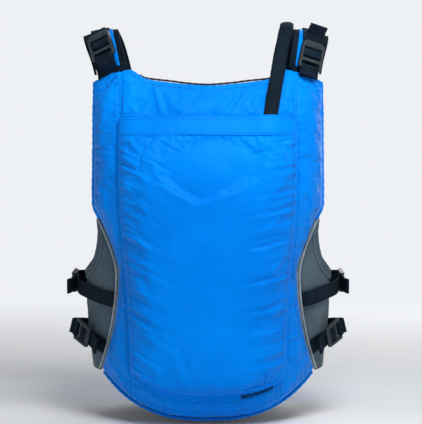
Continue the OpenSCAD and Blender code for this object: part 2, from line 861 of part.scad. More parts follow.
module accessory_ring() {
    head_w = slot_w + 2 * ring_t;
    color(buckle_black)
        translate([ring_x, ring_y, ring_z])
            rotate([90, 0, 0]) {
                difference() {
                    union() {
                        cylinder(r = ring_out_r, h = ring_t, center = true);
                        translate([-head_w / 2, 0, -ring_t / 2])
                            cube([head_w, ring_bar_up, ring_t]);
                    }
                    cylinder(r = ring_in_r, h = ring_t + 2, center = true);
                    translate([-slot_w / 2, ring_bar_up - slot_reach, -ring_t])
                        cube([slot_w, slot_reach + 1, 2 * ring_t]);
                }
                translate([-head_w / 2, ring_bar_up, 0])
                    rotate([0, 90, 0])
                        cylinder(r = ring_bar_r, h = head_w);
            }
}

module ring_tab() {
    stem_low = ring_bar_up + 4;
    stem_top = 32;
    color(strap_black)
        translate([ring_x, ring_y, ring_z])
            rotate([90, 0, 90])
                linear_extrude(loop_w, center = true)
                    difference() {
                        union() {
                            translate([0, ring_bar_up])
                                circle(r = loop_out_r);
                            translate([-loop_out_r, ring_bar_up])
                                square([2 * loop_out_r, stem_top - ring_bar_up]);
                        }
                        translate([0, ring_bar_up])
                            circle(r = loop_in_r);
                        translate([-loop_in_r, ring_bar_up])
                            square([2 * loop_in_r, stem_low - ring_bar_up]);
                    }
}

back_foam();
back_shell();
back_lining();
back_pocket();
pocket_mouth_band();
pocket_drain_mesh();
back_hem_binding();
back_neck_binding();
water_bladder();
bladder_cap();
bladder_hanger();
hose_sleeve();
drinking_tube();
hose_end_sleeve();
bite_valve();
hose_keeper();
front_foam();
front_shell();
front_lining();
front_pocket();
zip_tapes();
zip_coils();
zip_slider();
zip_pull();
front_hem_binding();
front_neck_binding();
side_panel();  // side_panel_left
mirror([1, 0, 0]) side_panel();  // side_panel_right
back_piping();  // back_piping_left
mirror([1, 0, 0]) back_piping();  // back_piping_right
armhole_binding();  // armhole_binding_left
mirror([1, 0, 0]) armhole_binding();  // armhole_binding_right
shoulder_pad(left_lean);  // shoulder_pad_left
mirror([1, 0, 0]) shoulder_pad(right_lean);  // shoulder_pad_right
shoulder_webbing(left_bar_t, left_lean);  // shoulder_webbing_left
mirror([1, 0, 0]) shoulder_webbing(right_bar_t, right_lean);  // shoulder_webbing_right
shoulder_anchor(left_bar_t, left_lean);  // shoulder_anchor_left
mirror([1, 0, 0]) shoulder_anchor(right_bar_t, right_lean);  // shoulder_anchor_right
shoulder_buckle(left_bar_t, left_lean);  // shoulder_buckle_left
mirror([1, 0, 0]) shoulder_buckle(right_bar_t, right_lean);  // shoulder_buckle_right
shoulder_tail(left_bar_t, left_lean, 5, 0);  // shoulder_tail_left
mirror([1, 0, 0]) shoulder_tail(right_bar_t, right_lean, 20, 8);  // shoulder_tail_right
side_straps();
side_anchors();
side_buckle(upper_side);  // upper_buckle_left
mirror([1, 0, 0]) side_buckle(upper_side);  // upper_buckle_right
side_buckle(lower_side);  // lower_buckle_left
mirror([1, 0, 0]) side_buckle(lower_side);  // lower_buckle_right
side_tail(upper_side);  // upper_tail_left
mirror([1, 0, 0]) side_tail(upper_side);  // upper_tail_right
side_tail(lower_side);  // lower_tail_left
mirror([1, 0, 0]) side_tail(lower_side);  // lower_tail_right
accessory_ring();
ring_tab();
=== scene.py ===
"""Visual model of a foam buoyancy vest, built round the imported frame.

Lengths are millimetres and angles are degrees until build() turns them into metres.
The back faces +Y, the chest faces -Y, the wearer's left is +X and +Z is up.
"""

import math

import bmesh
import bpy
import numpy as np
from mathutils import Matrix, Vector, noise
from mathutils.bvhtree import BVHTree


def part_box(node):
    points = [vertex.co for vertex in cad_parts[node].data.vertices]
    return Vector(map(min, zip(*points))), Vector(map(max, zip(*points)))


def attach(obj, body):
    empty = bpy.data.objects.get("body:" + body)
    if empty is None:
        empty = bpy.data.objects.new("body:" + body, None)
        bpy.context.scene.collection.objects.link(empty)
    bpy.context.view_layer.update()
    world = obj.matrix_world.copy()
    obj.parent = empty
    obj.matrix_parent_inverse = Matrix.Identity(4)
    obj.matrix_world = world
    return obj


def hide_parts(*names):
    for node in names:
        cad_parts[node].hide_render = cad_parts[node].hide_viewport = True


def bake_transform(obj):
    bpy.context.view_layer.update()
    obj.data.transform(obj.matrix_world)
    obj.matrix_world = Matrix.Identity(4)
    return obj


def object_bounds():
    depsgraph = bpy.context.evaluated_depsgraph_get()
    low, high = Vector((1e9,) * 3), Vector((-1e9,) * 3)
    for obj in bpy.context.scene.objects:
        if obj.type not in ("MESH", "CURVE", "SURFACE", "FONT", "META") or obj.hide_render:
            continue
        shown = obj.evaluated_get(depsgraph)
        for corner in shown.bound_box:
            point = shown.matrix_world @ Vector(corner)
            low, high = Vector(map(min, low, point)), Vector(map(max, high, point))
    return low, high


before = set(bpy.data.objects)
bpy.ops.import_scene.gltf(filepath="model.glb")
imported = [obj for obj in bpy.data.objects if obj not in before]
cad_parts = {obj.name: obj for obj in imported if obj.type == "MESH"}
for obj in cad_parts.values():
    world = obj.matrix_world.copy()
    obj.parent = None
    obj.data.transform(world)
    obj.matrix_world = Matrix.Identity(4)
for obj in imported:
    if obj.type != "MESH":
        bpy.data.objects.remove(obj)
cad_low, cad_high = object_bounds()
MM = 0.001

# Driving sizes of the vest
HEM_OPENING_W = 150
WAIST_HALF_W = 163
CHEST_HALF_W = 174
TORSO_HALF_D = 106
UPPER_LEAN = 34
NECK_Z = 431
HEM_RISE = 58
HEM_HALF_W = 140
WAIST_EDGE = 116
ARMHOLE_EDGE = 151
FOAM_T = 28
SHELL_GAP = 4.2
SHELL_T = 1.4
MOUTH_Z = 388
BAND_H = 26
POCKET_ROOM = 15
POCKET_GAP = 1.4
POCKET_RISE = 32
HOSE_X = 80
STRAP_X = 128
PAD_W = 48
PAD_T = 7
SHOULDER_WEB = 25
SIDE_WEB = 20
WEB_T = 1.4
ARCH_Z = 442
ARCH_Y = 66
ARCH_H = 66
FRONT_EDGE = 142
FRONT_NECK_Z = 372
FRONT_HEM_Z = 14
KEEPER_Z = 392
HOSE_END_Z = 322
HOSE_END_X = -98
HOSE_RX = 9.5
HOSE_RZ = 5
SECTION = 2.4
ARCH = 2.8
WAIST_Z = 187
WORD = {1: "left", -1: "right"}  # by the sign of x


# ---------------------------------------------------------------- sums
def mix(a, b, t):
    return a + (b - a) * t


def limit(t):
    return np.clip(t, 0, 1)


def grids(*values):
    """Arrays of one shape from numbers and arrays."""
    return np.broadcast_arrays(*(np.asarray(v, float) for v in values))


def bell(t):
    return np.exp(-t ** 2)


def ramp(v, a, b):
    t = limit((v - a) / (b - a))
    return t * t * (3 - 2 * t)


def unit(v):
    v = np.asarray(v, float)
    return v / np.linalg.norm(v, axis=-1, keepdims=True)


def swell(q):
    """1 in the middle, falling to 0 where q is -1 or 1."""
    return np.sqrt(1 - np.minimum(1, np.abs(q)) ** 6)


def dome(u, v):
    """1 over the middle of a panel, 0 along its rim."""
    return swell(u) * swell(2 * v - 1)


def signed_pow(v, e):
    return np.sign(v) * np.abs(v) ** e


def sin_d(a):
    return np.sin(np.radians(a))


def cos_d(a):
    return np.cos(np.radians(a))


def spread(count, ease=1.0):
    """count values from -1 to 1, closer together at the ends as ease nears 1."""
    t = np.linspace(-1, 1, count)
    return mix(t, np.sin(t * math.pi / 2), ease)


def ripple(x, z, size_x, size_z, seed):
    """Smooth noise between about -1 and 1 over x and z."""
    x, z = np.broadcast_arrays(x, z)
    flat = [noise.noise(Vector((a / size_x, b / size_z, seed * 7.31)))
            for a, b in zip(x.ravel().tolist(), z.ravel().tolist())]
    return np.array(flat).reshape(x.shape) * 1.6


def drift(run, size, seed):
    """Smooth noise along a line."""
    return ripple(run, 0 * run, size, 1, seed)


# ---------------------------------------------------------------- the torso and the panels on it
def half_w(z):
    waist = mix(HEM_OPENING_W, WAIST_HALF_W, ramp(z, 0, 150))
    return waist + (CHEST_HALF_W - WAIST_HALF_W) * ramp(z, 150, 300)


def half_d(z):
    return TORSO_HALF_D - UPPER_LEAN * ramp(z, 290, 500)


def skin(x, z, h, face):
    """Point over x and z on the back (face 1) or the chest (face -1), h outside the torso."""
    x, z, h = grids(x, z, h)
    q = np.minimum(1, np.abs(x) / (half_w(z) + h))
    y = face * (half_d(z) + h) * (1 - q ** SECTION) ** (1 / SECTION)
    return np.stack([x, y, z], -1)


def around(angle, z, h):
    """Point at an angle round the torso, counted from the middle of the back towards +X."""
    angle, z, h = grids(angle, z, h)
    return np.stack([(half_w(z) + h) * signed_pow(sin_d(angle), 2 / SECTION),
                     (half_d(z) + h) * signed_pow(cos_d(angle), 2 / SECTION), z], -1)


def back_angle(x, z, h):
    return np.degrees(np.arcsin(np.minimum(1, x / (half_w(z) + h)) ** (SECTION / 2)))


def edge_x(z):
    low = mix(WAIST_EDGE, HEM_HALF_W, limit((WAIST_Z - z) / 129) ** 2)
    high = mix(WAIST_EDGE, ARMHOLE_EDGE, limit((z - WAIST_Z) / 86) ** 1.4)
    return np.where(z < WAIST_Z, low, high)


def hem_z(x):
    return HEM_RISE * (np.abs(x) / HEM_HALF_W) ** 2.7


def top_z(x):
    a = np.abs(x)
    return NECK_Z + 9 * limit(a / 82) ** 1.5 + 13 * ramp(a, 80, 106) - 14 * ramp(a, 112, 160)


def front_edge_x(z):
    return FRONT_EDGE - 16 * sin_d(180 * limit((z - 200) / 220))


def front_low_z(x):
    return FRONT_HEM_Z + 44 * (np.abs(x) / FRONT_EDGE) ** 2.7


def front_top_z(x):
    a = np.abs(x)
    return FRONT_NECK_Z + 78 * ramp(a, 30, 100) - 12 * ramp(a, 112, 160)


def back_z(u, v):
    return mix(hem_z(u * HEM_HALF_W), top_z(u * ARMHOLE_EDGE), v)


def back_spot(u, v):
    return u * edge_x(back_z(1, v)), back_z(u, v)


def front_z(u, v):
    return mix(front_low_z(u * FRONT_EDGE), front_top_z(u * FRONT_EDGE), v)


def front_spot(u, v):
    return u * front_edge_x(front_z(1, v)), front_z(u, v)


def place_on(x, z, z_of, edge_of):
    """u and v on a panel from x and z, by repeated guesses."""
    v = np.full(np.broadcast(x, z).shape, 0.5)
    for _ in range(4):
        u = x / edge_of(z_of(1, v))
        low = z_of(u, 0)
        v = limit((z - low) / (z_of(u, 1) - low))
    return x / edge_of(z_of(1, v)), v


def shell_h(x, z, z_of, edge_of):
    return SHELL_GAP + FOAM_T * dome(*place_on(*grids(x, z), z_of, edge_of))


def back_shell_h(x, z):
    return shell_h(x, z, back_z, edge_x)


def front_shell_h(x, z):
    return shell_h(x, z, front_z, front_edge_x)


def seam_x(z):
    return mix(99, 114, ramp(z, 60, 330))


def pocket_low_z(x):
    return hem_z(x) + POCKET_RISE


def pocket_open(z):
    return np.where(z < 200, swell((200 - z) / 170), 1 - 0.6 * ramp(z, 330, 388))


def hose_bump(x, z):
    """Rise of the pocket where the hose comes out of it."""
    return 7 * bell((x + HOSE_X) / 24) * ramp(z, 330, 384)


def pocket_h(x, z):
    return (back_shell_h(x, z) + SHELL_T + POCKET_GAP + hose_bump(x, z)
            + POCKET_ROOM * swell(x / (seam_x(z) + 1)) * pocket_open(z))


# ---------------------------------------------------------------- folds and puckers
def fold(x, z, start, end, width, height):
    """A soft crease: a ridge from start to end with a shallow valley beside it."""
    (x0, z0), (x1, z1) = start, end
    dx, dz = x1 - x0, z1 - z0
    length = math.hypot(dx, dz)
    along = ((x - x0) * dx + (z - z0) * dz) / length / length
    off = ((x - x0) * dz - (z - z0) * dx) / length
    taper = np.sin(math.pi * limit(along)) ** 0.8
    return height * taper * (bell(off / width) - 0.7 * bell((off - 1.7 * width) / width))


def puckers(distance, along, pitch, reach, height, seed):
    """Gathers beside a seam; distance from it and place along it."""
    phase = along / pitch + 1.3 * drift(along, 26, seed)
    strength = 0.55 + 0.45 * drift(along, 40, seed + 1)
    return height * strength * np.sin(2 * math.pi * phase) * np.exp(-np.abs(distance) / reach)


YOKE_FOLDS = [  # start, end, width and height of each crease
    ((72, 434), (58, 388), 4.5, 1.6),
    ((-62, 438), (-30, 392), 5.5, 2.0),
    ((-40, 426), (-16, 396), 4.5, 1.5),
    ((104, 440), (92, 398), 3.5, 1.1),
    ((20, 432), (34, 400), 6, 0.9),
    ((-106, 430), (-98, 392), 3.5, 1.0),
]
POCKET_FOLDS = [
    ((112, 366), (84, 338), 4.5, 1.8),
    ((112, 342), (70, 292), 6, 2.0),
    ((108, 300), (74, 262), 5, 1.6),
    ((104, 246), (72, 214), 5, 1.4),
    ((100, 190), (74, 150), 5.5, 1.6),
    ((-112, 358), (-86, 330), 4.5, 1.6),
    ((-112, 322), (-78, 282), 6, 1.9),
    ((-106, 270), (-70, 236), 5, 1.5),
    ((-102, 214), (-74, 176), 5, 1.6),
    ((-98, 150), (-64, 118), 5, 1.3),
    ((96, 128), (62, 100), 5, 1.3),
    ((46, 96), (30, 46), 6, 1.4),
    ((-8, 110), (2, 44), 7, 1.2),
    ((-44, 104), (-34, 48), 6, 1.5),
    ((70, 84), (60, 48), 5, 1.2),
]


def back_wrinkles(x, z):
    """Height of the creases in the back shell."""
    seam = np.abs(np.abs(x) - seam_x(z))
    total = puckers(seam, z - 0.3 * seam, 8.5, 16, 1.5, 1) * ramp(z, 20, 60)
    total += sum(fold(x, z, *spec) for spec in YOKE_FOLDS)
    total -= 1.9 * bell((seam - 1.4) / 1.5) * ramp(z, 384, 392)
    total -= 0.9 * bell(seam / 2.2)
    ring = np.hypot(np.abs(x) - STRAP_X + 1, z - NECK_Z - 6)
    total -= bell((ring - 9) / 1.6) + 0.5 * bell(ring / 10)
    total += 0.7 * ripple(x, z, 34, 60, 2) + 0.25 * ripple(x, z, 9, 14, 3)
    edge = edge_x(z) - np.abs(x)
    total += puckers(edge, z, 10, 9, 0.8, 4) * ramp(z, 210, 260)
    hem = z - hem_z(x)
    total += puckers(hem, x, 9, 10, 0.9, 5)
    return total


def pocket_wrinkles(x, z):
    """Height of the creases in the back pocket."""
    side = seam_x(z) - np.abs(x)
    slant = np.where(x > 0, 0.5, 0.2) * side + np.where(x > 0, 0, 57)
    total = puckers(side, z + slant, 8.2, 15, 2.7, 6) * (1 - 0.4 * ramp(z, 280, 360))
    total += puckers(side, z + slant, 21, 27, 2.6, 16) + 1.1 * np.exp(-side / 30)
    total += puckers(z - pocket_low_z(x), x, 8.5, 10, 1.0, 7)
    total += sum(fold(x, z, *spec) for spec in POCKET_FOLDS)
    total += 0.9 * ripple(x, z, 46, 90, 8) + 0.22 * ripple(x, z, 10, 16, 9)
    return total * limit((MOUTH_Z - 2 - z) / 14 + 0.25)


def chest_wrinkles(x, z):
    """Height of the creases in the front shell."""
    edge = front_edge_x(z) - np.abs(x)
    total = puckers(edge, z, 9, 8, 0.8, 10) + puckers(z - front_low_z(x), x, 9, 9, 0.8, 11)
    total += 0.8 * ripple(x, z, 36, 52, 12) + 0.25 * ripple(x, z, 9, 13, 13)
    for side in (-1, 1):
        total += fold(x, z, (side * 96, 420), (side * 50, 340), 6, 1.6)
        total += fold(x, z, (side * 122, 330), (side * 70, 270), 6, 1.4)
    return total


# ---------------------------------------------------------------- mesh parts: (points, faces, uv)
def grid_part(points, uv):
    n, m = points.shape[:2]
    faces = [(r * m + c, r * m + c + 1, (r + 1) * m + c + 1, (r + 1) * m + c)
             for r in range(n - 1) for c in range(m - 1)]
    return points.reshape(-1, 3), faces, uv.reshape(-1, 2)


def sheet_uv(points):
    """Weave coordinates in millimetres: across from the middle and up from the bottom row."""
    across = np.cumsum(np.linalg.norm(np.diff(points, axis=1, prepend=points[:, :1]), axis=-1), 1)
    up = np.cumsum(np.linalg.norm(np.diff(points, axis=0, prepend=points[:1]), axis=-1), 0)
    return np.stack([across - across[:, -1:] / 2, up], -1)


def slab_part(outer, inner):
    """Closed sheet between two grids of points."""
    n, m = outer.shape[:2]
    points, faces, uv = grid_part(outer, sheet_uv(outer))
    half = n * m
    faces = faces + [tuple(half + k for k in reversed(f)) for f in faces]
    rim = ([c for c in range(m)] + [r * m + m - 1 for r in range(1, n)]
           + [(n - 1) * m + c for c in range(m - 2, -1, -1)] + [r * m for r in range(n - 2, 0, -1)])
    faces += [(a, half + a, half + b, b) for a, b in zip(rim, rim[1:] + rim[:1])]
    return np.concatenate([points, inner.reshape(-1, 3)]), faces, np.concatenate([uv, uv])


def lengths_of(line):
    steps = np.linalg.norm(np.diff(line, axis=0), axis=1)
    return np.concatenate([[0], np.cumsum(steps)])


def sweep_part(line, across, profile, closed=False):
    """Closed profile (across, out) swept along a line; across is one vector or one a point."""
    line = np.asarray(line, float)
    n, k = len(line), len(profile)
    across = np.broadcast_to(np.asarray(across, float), line.shape)
    if closed:
        along = unit(np.roll(line, -1, 0) - np.roll(line, 1, 0))
    else:
        along = unit(np.gradient(line, axis=0))
    side = unit(across - np.sum(across * along, -1, keepdims=True) * along)
    up = np.cross(along, side)
    profile = np.asarray(profile, float)
    if profile.ndim == 2:
        profile = np.broadcast_to(profile, (n, k, 2))
    else:
        k = profile.shape[1]
    points = line[:, None] + side[:, None] * profile[..., :1] + up[:, None] * profile[..., 1:]
    loops = n if closed else n - 1
    faces = [(i * k + j, i * k + (j + 1) % k, (i + 1) % n * k + (j + 1) % k, (i + 1) % n * k + j)
             for i in range(loops) for j in range(k)]
    if not closed:
        faces += [tuple(range(k - 1, -1, -1)), tuple((n - 1) * k + j for j in range(k))]
    run = lengths_of(line)
    wide = profile[..., 0]
    uv = np.stack([np.broadcast_to(run[:, None], wide.shape), wide], -1)
    return points.reshape(-1, 3), faces, uv.reshape(-1, 2)


def strap_profile(width, low, high, corner=0.6):
    """Flat strap section with rounded edges."""
    c = min(corner, (high - low) / 2.01)
    e = width / 2
    corners = [(e - c, low + c, -90), (e - c, high - c, 0),
               (-e + c, high - c, 90), (-e + c, low + c, 180)]
    return [(x + c * cos_d(a0 + a), y + c * sin_d(a0 + a)) for x, y, a0 in corners for a in (0, 45, 90)]


def oval_profile(rx, rz, k=20):
    return [(rx * cos_d(360 * i / k), rz * sin_d(360 * i / k)) for i in range(k)]


def smooth_line(knots, steps):
    """Catmull-Rom curve through the knots; a knot may hold any count of numbers."""
    knots = np.asarray(knots, float)
    out = []
    for i in range(len(knots) - 1):
        a, b = knots[max(0, i - 1)], knots[i]
        c, d = knots[i + 1], knots[min(len(knots) - 1, i + 2)]
        for s in range(steps):
            t = s / steps
            out.append(0.5 * (2 * b + (c - a) * t + (2 * a - 5 * b + 4 * c - d) * t * t
                              + (3 * b - a - 3 * c + d) * t ** 3))
    out.append(knots[-1])
    return np.array(out)


def lathe_part(profile, centre, axis, k=40):
    """Closed profile (radius, height) turned about an axis through centre."""
    axis = unit(axis)
    side = unit(np.cross(axis, (0.3, 0.5, 0.81)))
    other = np.cross(axis, side)
    n = len(profile)
    turns = [side * cos_d(360 * i / k) + other * sin_d(360 * i / k) for i in range(k)]
    points = [np.asarray(centre, float) + axis * h + r * turn for turn in turns for r, h in profile]
    faces = [(i * n + j, (i + 1) % k * n + j, (i + 1) % k * n + (j + 1) % n, i * n + (j + 1) % n)
             for i in range(k) for j in range(n)]
    uv = [(i / k * 0.05 / MM, h) for i in range(k) for r, h in profile]
    return np.array(points), faces, np.array(uv, float)


def rod_part(a, b, radius, k=8):
    """Round-ended rod between two points."""
    a, b = np.asarray(a, float), np.asarray(b, float)
    along = unit(b - a)
    hint = (0, 0, 1) if abs(along[2]) < 0.9 else (1, 0, 0)
    ends = [(0, 0.25), (0.3, 0.75), (1, 1)]
    back = ends[::-1]
    line = [a + along * radius * s for s, _ in ends] + [b - along * radius * s for s, _ in back]
    ring = np.array(oval_profile(radius, radius, k))
    return sweep_part(line, hint, np.array([ring * share for _, share in ends + back]))


def prism_part(outline, low, high):
    """Flat plate with an outline in x and y."""
    k = len(outline)
    points = [(x, y, low) for x, y in outline] + [(x, y, high) for x, y in outline]
    faces = [tuple(range(k - 1, -1, -1)), tuple(range(k, 2 * k))]
    faces += [(i, (i + 1) % k, k + (i + 1) % k, k + i) for i in range(k)]
    return np.array(points, float), faces, np.array(points, float)[:, :2]


def block_part(low, high):
    (x0, y0, z0), (x1, y1, z1) = low, high
    return prism_part([(x0, y0), (x1, y0), (x1, y1), (x0, y1)], z0, z1)


def moved(part, spot):
    """A part in local coordinates put on a spot: (point, along, across, out)."""
    points, faces, uv = part
    p, along, side, up = (np.asarray(v, float) for v in spot)
    return p + points[:, :1] * along + points[:, 1:2] * side + points[:, 2:] * up, faces, uv


def mirrored(part):
    points, faces, uv = part
    return points * (-1, 1, 1), [tuple(reversed(f)) for f in faces], uv


def build(name, parts, material, side=1):
    """One mesh object in metres from parts; side -1 mirrors them to the wearer's right."""
    points, faces, uvs, start = [], [], [], 0
    for part in parts:
        p, f, uv = mirrored(part) if side < 0 else part
        points.append(p)
        uvs.append(uv)
        faces += [tuple(start + k for k in face) for face in f]
        start += len(p)
    points, uvs = np.concatenate(points), np.concatenate(uvs)
    mesh = bpy.data.meshes.new(name)
    mesh.from_pydata((points * MM).tolist(), [], faces)
    layer = mesh.uv_layers.new(name="weave")
    loops = np.zeros(len(mesh.loops), np.int32)
    mesh.loops.foreach_get("vertex_index", loops)
    layer.data.foreach_set("uv", (uvs[loops] * MM).astype(np.float32).ravel())
    work = bmesh.new()
    work.from_mesh(mesh)
    bmesh.ops.recalc_face_normals(work, faces=work.faces)
    work.to_mesh(mesh)
    work.free()
    mesh.shade_smooth()
    mesh.materials.append(material)
    obj = bpy.data.objects.new(name, mesh)
    bpy.context.scene.collection.objects.link(obj)
    return obj


def rounded(obj, size, segments=2):
    """Bevelled edges on a moulded piece."""
    bevel = obj.modifiers.new("edges", "BEVEL")
    bevel.width = size * MM
    bevel.segments = segments
    bevel.limit_method = "ANGLE"
    bevel.angle_limit = math.radians(35)
    bevel.harden_normals = True
    return obj


def finer(obj):
    modifier = obj.modifiers.new("finer", "SUBSURF")
    modifier.levels = modifier.render_levels = 1
    return obj


def piece(name, parts, material, slot, *nodes, side=1, body="vest", soft=True, edge=0):
    """A finished piece on its body, in place of its CAD nodes.
    """
    obj = build(name, parts, materials[material], side)
    if edge:
        rounded(obj, edge)
    elif soft:
        finer(obj)
    if body:
        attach(obj, body)
    if nodes:
        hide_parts(*nodes)
    return obj


# ---------------------------------------------------------------- cloth
SIM_FRAMES = 20
CLOTH = {
    "quality": 6,
    "mass": 0.12,
    "air_damping": 4,
    "tension_stiffness": 24,
    "compression_stiffness": 24,
    "shear_stiffness": 10,
    "bending_stiffness": 0.35,
    "vertex_group_mass": "sewn",
    "use_pressure": True,
    "uniform_pressure_force": 1.2,
}


def cloth_start(points, pins, growth):
    """Sheet of points ready to settle; pins holds 1 where it is sewn down."""
    sheet = build("settling", [grid_part(points, points[..., :2])], materials["nylon"])
    group = sheet.vertex_groups.new(name="sewn")
    for index, weight in enumerate(pins.ravel().tolist()):
        if weight > 0:
            group.add([index], weight, "REPLACE")
    modifier = sheet.modifiers.new("settle", "CLOTH")
    for key, value in CLOTH.items():
        setattr(modifier.settings, key, value)
    modifier.settings.shrink_min = -growth
    modifier.settings.effector_weights.gravity = 0
    modifier.collision_settings.use_collision = False
    modifier.point_cache.frame_end = SIM_FRAMES
    return sheet


def cloth_end(sheet, points, cap, inward):
    """Settled points; none moves more than cap, nor more than inward towards the body."""
    graph = bpy.context.evaluated_depsgraph_get()
    done = sheet.evaluated_get(graph).to_mesh()
    co = np.zeros(len(done.vertices) * 3)
    done.vertices.foreach_get("co", co)
    shift = co.reshape(points.shape) / MM - points
    bpy.data.objects.remove(sheet)
    size = np.linalg.norm(shift, axis=-1, keepdims=True)
    shift = shift * np.minimum(1, cap / np.maximum(size, 1e-6))
    out = unit(points * (1, 1, 0))
    depth = np.sum(shift * out, -1, keepdims=True)
    return points + shift - out * np.minimum(0, depth + inward[..., None])


def settle(jobs):
    """Simulates every sheet at once: jobs hold (points, pins, growth, cap, inward)."""
    scene = bpy.context.scene
    sheets = [cloth_start(points, pins, growth) for points, pins, growth, _, _ in jobs]
    for step in range(1, SIM_FRAMES + 1):
        scene.frame_set(step)
    settled = [cloth_end(sheet, job[0], job[3], job[4]) for sheet, job in zip(sheets, jobs)]
    scene.frame_set(1)
    return settled


# ---------------------------------------------------------------- materials
def rgb(text):
    """Linear colour from sRGB hex digits."""
    parts = [int(text[i:i + 2], 16) / 255 for i in (0, 2, 4)]
    return tuple(c / 12.92 if c < 0.04045 else ((c + 0.055) / 1.055) ** 2.4 for c in parts) + (1,)


def node(tree, kind, settings=None, **inputs):
    """Shader node with its settings; a socket given as an input is linked to it."""
    made = tree.nodes.new("ShaderNode" + kind)
    for key, value in (settings or {}).items():
        setattr(made, key, value)
    for key, value in inputs.items():
        socket = made.inputs[key.replace("_", " ")]
        if isinstance(value, bpy.types.NodeSocket):
            tree.links.new(value, socket)
        else:
            socket.default_value = value
    return made


materials = {}


def surface(name, **inputs):
    """New entry in materials; returns its tree and its Principled BSDF."""
    material = materials[name] = bpy.data.materials.new(name)
    material.use_nodes = True
    shader = material.node_tree.nodes["Principled BSDF"]
    for key, value in inputs.items():
        shader.inputs[key.replace("_", " ")].default_value = value
    return material.node_tree, shader


def link(tree, a, b):
    tree.links.new(a, b)


def tinted(tree, shader, dark, light, scale, detail=4):
    """Colour that drifts between two tones; returns the texture coordinates and the tone."""
    where = node(tree, "TexCoord").outputs["Object"]
    cloud = node(tree, "TexNoise", Vector=where, Scale=scale, Detail=detail, Roughness=0.6)
    share = node(tree, "MapRange", Value=cloud.outputs["Fac"], From_Min=0.32, From_Max=0.68)
    tone = node(tree, "MixRGB", Fac=share.outputs["Result"], Color1=rgb(dark), Color2=rgb(light))
    link(tree, tone.outputs["Color"], shader.inputs["Base Color"])
    return where, tone


def bump(tree, height, distance, strength, under=None):
    """Relief in millimetres, on top of a coarser one if there is one under it."""
    made = node(tree, "Bump", Height=height, Distance=distance * MM, Strength=strength)
    if under is not None:
        link(tree, under, made.inputs["Normal"])
    return made.outputs["Normal"]


def relief(tree, shader, *settings):
    link(tree, bump(tree, *settings), shader.inputs["Normal"])


def combined(tree, operation, *values):
    made = node(tree, "Math", {"operation": operation})
    for value, socket in zip(values, made.inputs):
        link(tree, value, socket)
    return made.outputs["Value"]


def thread_waves(tree, direction, period):
    """Ridges across the weave coordinates; period in metres."""
    where = node(tree, "TexCoord").outputs["UV"]
    bands = {"wave_type": "BANDS", "bands_direction": direction, "wave_profile": "SIN"}
    return node(tree, "TexWave", bands, Vector=where, Scale=0.314 / period).outputs["Fac"]


def woven(name, tones, rough, period, depth, crinkle, sheen, patch, grain=160, shine="ffffff"):
    """Plain-weave cloth with fine threads, crumpled handle and tone that drifts."""
    tree, shader = surface(name, Roughness=rough, Sheen_Weight=sheen, Sheen_Roughness=0.4,
                           Specular_IOR_Level=0.22, Specular_Tint=rgb(shine))
    where, _ = tinted(tree, shader, *tones, patch)
    soft = node(tree, "TexNoise", Vector=where, Scale=grain, Detail=5, Roughness=0.55, Distortion=0.6)
    wear_and_edge_highlight = node(tree, "MapRange", Value=soft.outputs["Fac"], From_Min=0.3, From_Max=0.75,
                To_Min=rough - 0.07, To_Max=rough + 0.1)
    link(tree, wear_and_edge_highlight.outputs["Result"], shader.inputs["Roughness"])
    cross = combined(tree, "MULTIPLY", thread_waves(tree, "X", period), thread_waves(tree, "Y", period))
    relief(tree, shader, cross, depth, 0.7, bump(tree, soft.outputs["Fac"], crinkle, 0.8))


def webbing(name, dark, light):
    """Ribbed polyester webbing with a herringbone of columns across its width."""
    tree, shader = surface(name, Roughness=0.75, Specular_IOR_Level=0.1)
    tinted(tree, shader, dark, light, 60)
    ribs = thread_waves(tree, "X", 0.0017)
    slant = thread_waves(tree, "DIAGONAL", 0.0023)
    columns = thread_waves(tree, "Y", 0.0031)
    relief(tree, shader, combined(tree, "MULTIPLY_ADD", ribs, columns, slant), 0.35, 0.9)


def moulded(name, dark, light, rough):
    """Satin moulded plastic: fine spark-eroded grain, a painted highlight on the edges and a little dust."""
    tree, shader = surface(name, Roughness=rough, Specular_IOR_Level=0.35)
    where, tone = tinted(tree, shader, dark, light, 70, 6)
    # painted highlight: the pointy edges are mixed towards pale grey 5d676c
    edges = node(tree, "MapRange", Value=node(tree, "NewGeometry").outputs["Pointiness"],
                 From_Min=0.5, From_Max=0.6, To_Max=0.3)
    wear_and_edge_highlight = node(tree, "MixRGB", Fac=edges.outputs["Result"], Color1=tone.outputs["Color"],
                Color2=rgb("5d676c"))
    link(tree, wear_and_edge_highlight.outputs["Color"], shader.inputs["Base Color"])
    grain = node(tree, "TexNoise", Vector=where, Scale=1500, Detail=3)
    scuffs = node(tree, "TexNoise", Vector=where, Scale=240, Detail=6, Roughness=0.7)
    matt = node(tree, "MapRange", Value=scuffs.outputs["Fac"], From_Min=0.35, From_Max=0.7,
                To_Min=rough - 0.08, To_Max=rough + 0.16)
    link(tree, matt.outputs["Result"], shader.inputs["Roughness"])
    relief(tree, shader, grain.outputs["Fac"], 0.04, 0.6)


def spacer_mesh(name, dark, light):
    """Knitted lining with rows of small holes."""
    tree, shader = surface(name, Roughness=0.75, Sheen_Weight=0.3)
    tinted(tree, shader, dark, light, 30)
    where = node(tree, "TexCoord").outputs["UV"]
    cells = node(tree, "TexVoronoi", {"feature": "DISTANCE_TO_EDGE"}, Vector=where, Scale=420,
                 Randomness=0.25)
    relief(tree, shader, cells.outputs["Distance"], -0.5, 0.8)


def beaded(name, dark, light, patch, cells, depth, **finish):
    """Surface of tiny cells: the bubbles of closed-cell foam or the beads of reflective tape."""
    tree, shader = surface(name, **finish)
    where, _ = tinted(tree, shader, dark, light, patch)
    beads = node(tree, "TexVoronoi", Vector=where, Scale=cells)
    relief(tree, shader, beads.outputs["Distance"], depth, 0.7)


